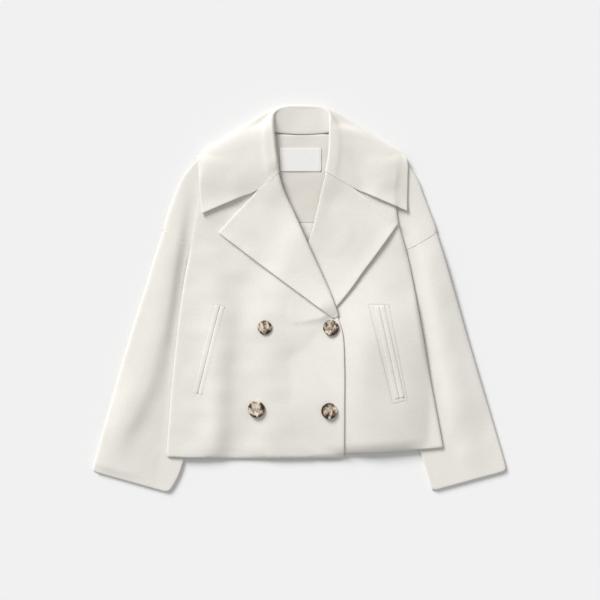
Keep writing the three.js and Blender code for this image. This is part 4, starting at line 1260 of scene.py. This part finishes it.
def layWelts(side, setting):
    base = laid.copy()
    top, bottom = (np.array(spot) + nodeShift for spot in setting["slit"])
    middle = setting["gap"] + setting["thickness"] / 2
    for place in ("inner", "outer"):
        layCloth(f"{side}_{place}_welt", f"{side}_pocket_welt_{place}", {
            **woolSheet, "thickness": setting["thickness"], "rounding": setting["rounding"],
            "restsOn": [f"{side}_front_panel"],
            "height": lambda xy: base.at(xy) + middle, "sampleDepth": 0,
            "smoothing": 4, "ripple": 0, "cornerRounding": 0,
            "edges": [{"run": (top, (top + bottom) / 2, bottom), "drop": setting["slitDrop"],
                       "radius": 2.5}]})


for side, setting in weltSettings.items():
    layWelts(side, setting)


def selectOnly(piece):
    bpy.ops.object.select_all(action="DESELECT")
    piece.select_set(True)
    bpy.context.view_layer.objects.active = piece


def applyModifiers(piece):
    selectOnly(piece)
    for modifier in list(piece.modifiers):
        bpy.ops.object.modifier_apply(modifier=modifier.name)


def settle(piece):
    selectOnly(piece)
    bpy.ops.object.transform_apply(location=True, rotation=True, scale=True)


stitchShape = {"length": 2.7, "radius": 0.27, "pitch": 3.5}


def makeStitch(shape):
    # One stitch: a short bar of thread with its ends pressed into the cloth
    bpy.ops.object.select_all(action="DESELECT")
    bpy.ops.mesh.primitive_cylinder_add(vertices=8, radius=shape["radius"] * mm,
                                        depth=shape["length"] * mm * 0.6)
    stitch = bpy.context.object
    bpy.ops.object.mode_set(mode="EDIT")
    bpy.ops.mesh.select_all(action="DESELECT")
    bpy.ops.object.mode_set(mode="OBJECT")
    for end in (1, -1):
        for polygon in stitch.data.polygons:
            polygon.select = polygon.normal.z * end > 0.9
        bpy.ops.object.mode_set(mode="EDIT")
        bpy.ops.mesh.extrude_region_move(TRANSFORM_OT_translate={
            "value": (0, 0, end * shape["length"] * mm * 0.2)})
        bpy.ops.transform.resize(value=(0.45, 0.45, 1))
        bpy.ops.transform.translate(value=(-shape["radius"] * mm * 0.9, 0, 0))
        bpy.ops.mesh.select_all(action="DESELECT")
        bpy.ops.object.mode_set(mode="OBJECT")
    points = np.array([tuple(vert.co) for vert in stitch.data.vertices]) / mm
    faces = [list(polygon.vertices) for polygon in stitch.data.polygons]
    bpy.data.objects.remove(stitch)
    return points, faces


stitchMaster = makeStitch(stitchShape)


def stitchAt(spot, run, sink=0.05):
    # The master stitch's points, laid along a run at one spot of the coat's top
    points = stitchMaster[0]
    ahead, behind = laid.at(np.array([spot + run * 1.2, spot - run * 1.2]))
    along = np.array([*run, (ahead - behind) / 2.4])
    along /= np.linalg.norm(along)
    across = np.cross((0, 0, 1), along)
    across /= np.linalg.norm(across)
    turned = points[:, :1] * np.cross(along, across) + points[:, 1:2] * across + points[:, 2:] * along
    return turned + (*spot, (ahead + behind) / 2 - sink)


def sewLines(name, lines):
    # Copies of the master stitch along each line, lying on what is laid
    stitches = []
    for line in lines:
        line = np.array(line, float)
        for start, end in zip(line, line[1:]):
            length = np.hypot(*(end - start))
            run = (end - start) / length
            count = max(1, round(length / stitchShape["pitch"]))
            stitches += [stitchAt(start + run * length * (index + 0.5) / count, run)
                         for index in range(count)]
    points, faces = stitchMaster
    allFaces = [[vert + number * len(points) for vert in face]
                for number in range(len(stitches)) for face in faces]
    piece = makeObject(name, np.vstack(stitches), allFaces, woolThread)
    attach(piece, "root")
    print(name, "sewn:", len(allFaces), "faces")


sewLines("left_pocket_stitching", [pocketBorder])
sewLines("right_pocket_stitching", [[(-151.5, -9), (-132.5, -13.5)], [(-183.5, -170), (-172.5, -172.5)]])
sewLines("label_stitching", [[(-31, 260), (-31, 222.5)], [(35, 260), (35, 222.5)]])

buttonSetting = {
    "height": 3.6, "dish": 1.3, "bevel": 1.15, "holeRadius": 0.9, "holeSpacing": 4.4,
    "insets": [(0.24, 0), (0.16, 0.75), (0.2, 0.25)],   # shares of the radius, and of the dish
    "backInset": 0.18, "seatGap": 0.3, "threadRadius": 0.42, "threadShift": 0.55,
}
buttonColumns = ("node", "x", "y", "radius", "turn")
buttonPlaces = {
    "right_upper_button": ("button_right_upper", -61.2, -50.4, 13.6, 0.1),
    "left_upper_button": ("button_left_upper", 53.5, -50.8, 13.6, -0.15),
    "right_lower_button": ("button_right_lower", -76, -192.6, 14.6, 0.35),
    "left_lower_button": ("button_left_lower", 50.6, -195.2, 14.0, -0.4),
}


def selectFaces(piece, way):
    # Leaves edit mode open with the faces that look up (1) or down (-1) selected
    for polygon in piece.data.polygons:
        polygon.select = polygon.normal.z * way > 0.9
    bpy.ops.object.mode_set(mode="EDIT")


def turnButton(place, seat, setting):
    # A disc with a raised rim and a dished middle, its edges rounded
    bpy.ops.object.select_all(action="DESELECT")
    bpy.ops.mesh.primitive_cylinder_add(
        vertices=64, radius=place["radius"] * mm, depth=setting["height"] * mm,
        location=(place["x"] * mm, place["y"] * mm, (seat + setting["height"] / 2) * mm))
    button = bpy.context.object
    selectFaces(button, 1)
    bpy.ops.mesh.select_mode(type="FACE")
    for width, depth in setting["insets"]:
        bpy.ops.mesh.inset(thickness=place["radius"] * width * mm, depth=-setting["dish"] * depth * mm)
    bpy.ops.object.mode_set(mode="OBJECT")
    selectFaces(button, -1)
    bpy.ops.mesh.inset(thickness=place["radius"] * setting["backInset"] * mm)
    bpy.ops.transform.translate(value=(0, 0, -0.15 * mm))
    bpy.ops.object.mode_set(mode="OBJECT")
    bevel = button.modifiers.new("soft rims", "BEVEL")
    bevel.width = setting["bevel"] * mm
    bevel.segments = 5
    bevel.limit_method = "ANGLE"
    bevel.angle_limit = math.radians(24)
    applyModifiers(button)
    return button


def drillHoles(button, place, seat, shift, radius):
    for across in (-1, 1):
        for along in (-1, 1):
            bpy.ops.object.select_all(action="DESELECT")
            bpy.ops.mesh.primitive_cylinder_add(
                vertices=20, radius=radius * mm, depth=20 * mm,
                location=((place["x"] + across * shift) * mm, (place["y"] + along * shift) * mm,
                          seat * mm))
            drill = bpy.context.object
            hole = button.modifiers.new("hole", "BOOLEAN")
            hole.operation = "DIFFERENCE"
            hole.object = drill
            applyModifiers(button)
            bpy.data.objects.remove(drill)


def storeOwnPlace(button, place, seat):
    # Places on the button in its own radius and turn, for its marbling and its painted highlight and
    # shade
    own = button.data.attributes.new("ownPlace", "FLOAT_VECTOR", "POINT")
    x, y, z = ((np.array([tuple(vert.co) for vert in button.data.vertices]) / mm
                - (place["x"], place["y"], seat)) / place["radius"]).T
    cos, sin = math.cos(place["turn"]), math.sin(place["turn"])
    own.data.foreach_set("vector", np.column_stack([x * cos + y * sin, y * cos - x * sin, z]).ravel())


def sewOn(name, place, floorOfDish, shift, setting):
    # Two bars of three strands each, over the four holes
    threads = []
    for across in (-1, 1):
        for strand in (-1, 0, 1):
            bpy.ops.object.select_all(action="DESELECT")
            bpy.ops.mesh.primitive_uv_sphere_add(segments=12, ring_count=8,
                                                 radius=setting["threadRadius"] * mm)
            thread = bpy.context.object
            thread.scale = (1, shift * 1.55 / setting["threadRadius"], 1.1)
            thread.location = ((place["x"] + across * shift + strand * setting["threadShift"]) * mm,
                               place["y"] * mm, (floorOfDish + 0.25) * mm)
            settle(thread)
            threads.append(thread)
    bpy.ops.object.select_all(action="DESELECT")
    for thread in threads:
        thread.select_set(True)
    bpy.context.view_layer.objects.active = threads[0]
    bpy.ops.object.join()
    threads[0].name = name + "_thread"
    bpy.ops.object.shade_smooth()
    threads[0].data.materials.append(buttonThread)
    settle(threads[0])
    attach(threads[0], "root")


def makeButton(name, row, setting):
    place = dict(zip(buttonColumns, row))
    place["x"] += nodeShift[0]
    place["y"] += nodeShift[1]
    around = np.array([(place["x"] + place["radius"] * 0.9 * math.cos(angle),
                        place["y"] + place["radius"] * 0.9 * math.sin(angle))
                       for angle in np.linspace(0, 2 * math.pi, 12)])
    seat = float(laid.at(around).max()) + setting["seatGap"]
    shift = setting["holeSpacing"] / 2 / math.sqrt(2) * 1.15
    button = turnButton(place, seat, setting)
    button.name = name
    drillHoles(button, place, seat, shift, setting["holeRadius"])
    settle(button)
    bpy.ops.object.shade_smooth_by_angle(angle=math.radians(35))
    button.data.materials.clear()
    button.data.materials.append(hornFinish)
    storeOwnPlace(button, place, seat)
    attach(button, "root")
    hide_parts(place["node"])
    sewOn(name, place, seat + setting["height"] - setting["dish"], shift, setting)
    print(name, "made at height", round(seat, 1))


for name, row in buttonPlaces.items():
    makeButton(name, row, buttonSetting)

studio = {"sky": 0.46, "key": 3.35, "keySoftness": 26, "keyTurn": (59, 0, 218), "lens": 85,
          "height": 2.479, "aim": (0.00075, -0.0031), "floorReach": 15, "floorDrop": 0.0004}
corners = [(x * studio["floorReach"], y * studio["floorReach"], -studio["floorDrop"])
           for x, y in ((-1, -1), (1, -1), (1, 1), (-1, 1))]
floorMesh = bpy.data.meshes.new("floor")
floorMesh.from_pydata(corners, [], [(0, 1, 2, 3)])
floor = bpy.data.objects.new("floor", floorMesh)
bpy.context.scene.collection.objects.link(floor)
paper = Finish("paper")
floorMesh.materials.append(paper.shaded(color=(0.87, 0.87, 0.87, 1), roughness=0.9, specular=0.1))

sky = bpy.data.worlds.new("studio sky")
sky.use_nodes = True
sky.node_tree.nodes["Background"].inputs["Color"].default_value = (1, 1, 1, 1)
sky.node_tree.nodes["Background"].inputs["Strength"].default_value = studio["sky"]
bpy.context.scene.world = sky
keyLight = bpy.data.lights.new("key", "SUN")
keyLight.energy = studio["key"]
keyLight.angle = math.radians(studio["keySoftness"])
key = bpy.data.objects.new("key", keyLight)
key.rotation_euler = [math.radians(angle) for angle in studio["keyTurn"]]
bpy.context.scene.collection.objects.link(key)
cameraData = bpy.data.cameras.new("camera")
cameraData.lens = studio["lens"]
cameraData.dof.use_dof = False
camera = bpy.data.objects.new("camera", cameraData)
camera.location = (*studio["aim"], studio["height"])
bpy.context.scene.collection.objects.link(camera)
bpy.context.scene.camera = camera
bpy.context.scene.view_settings.view_transform = "Standard"
print("studio set up")

print("sheets, mm and square metres:", pieceArea)
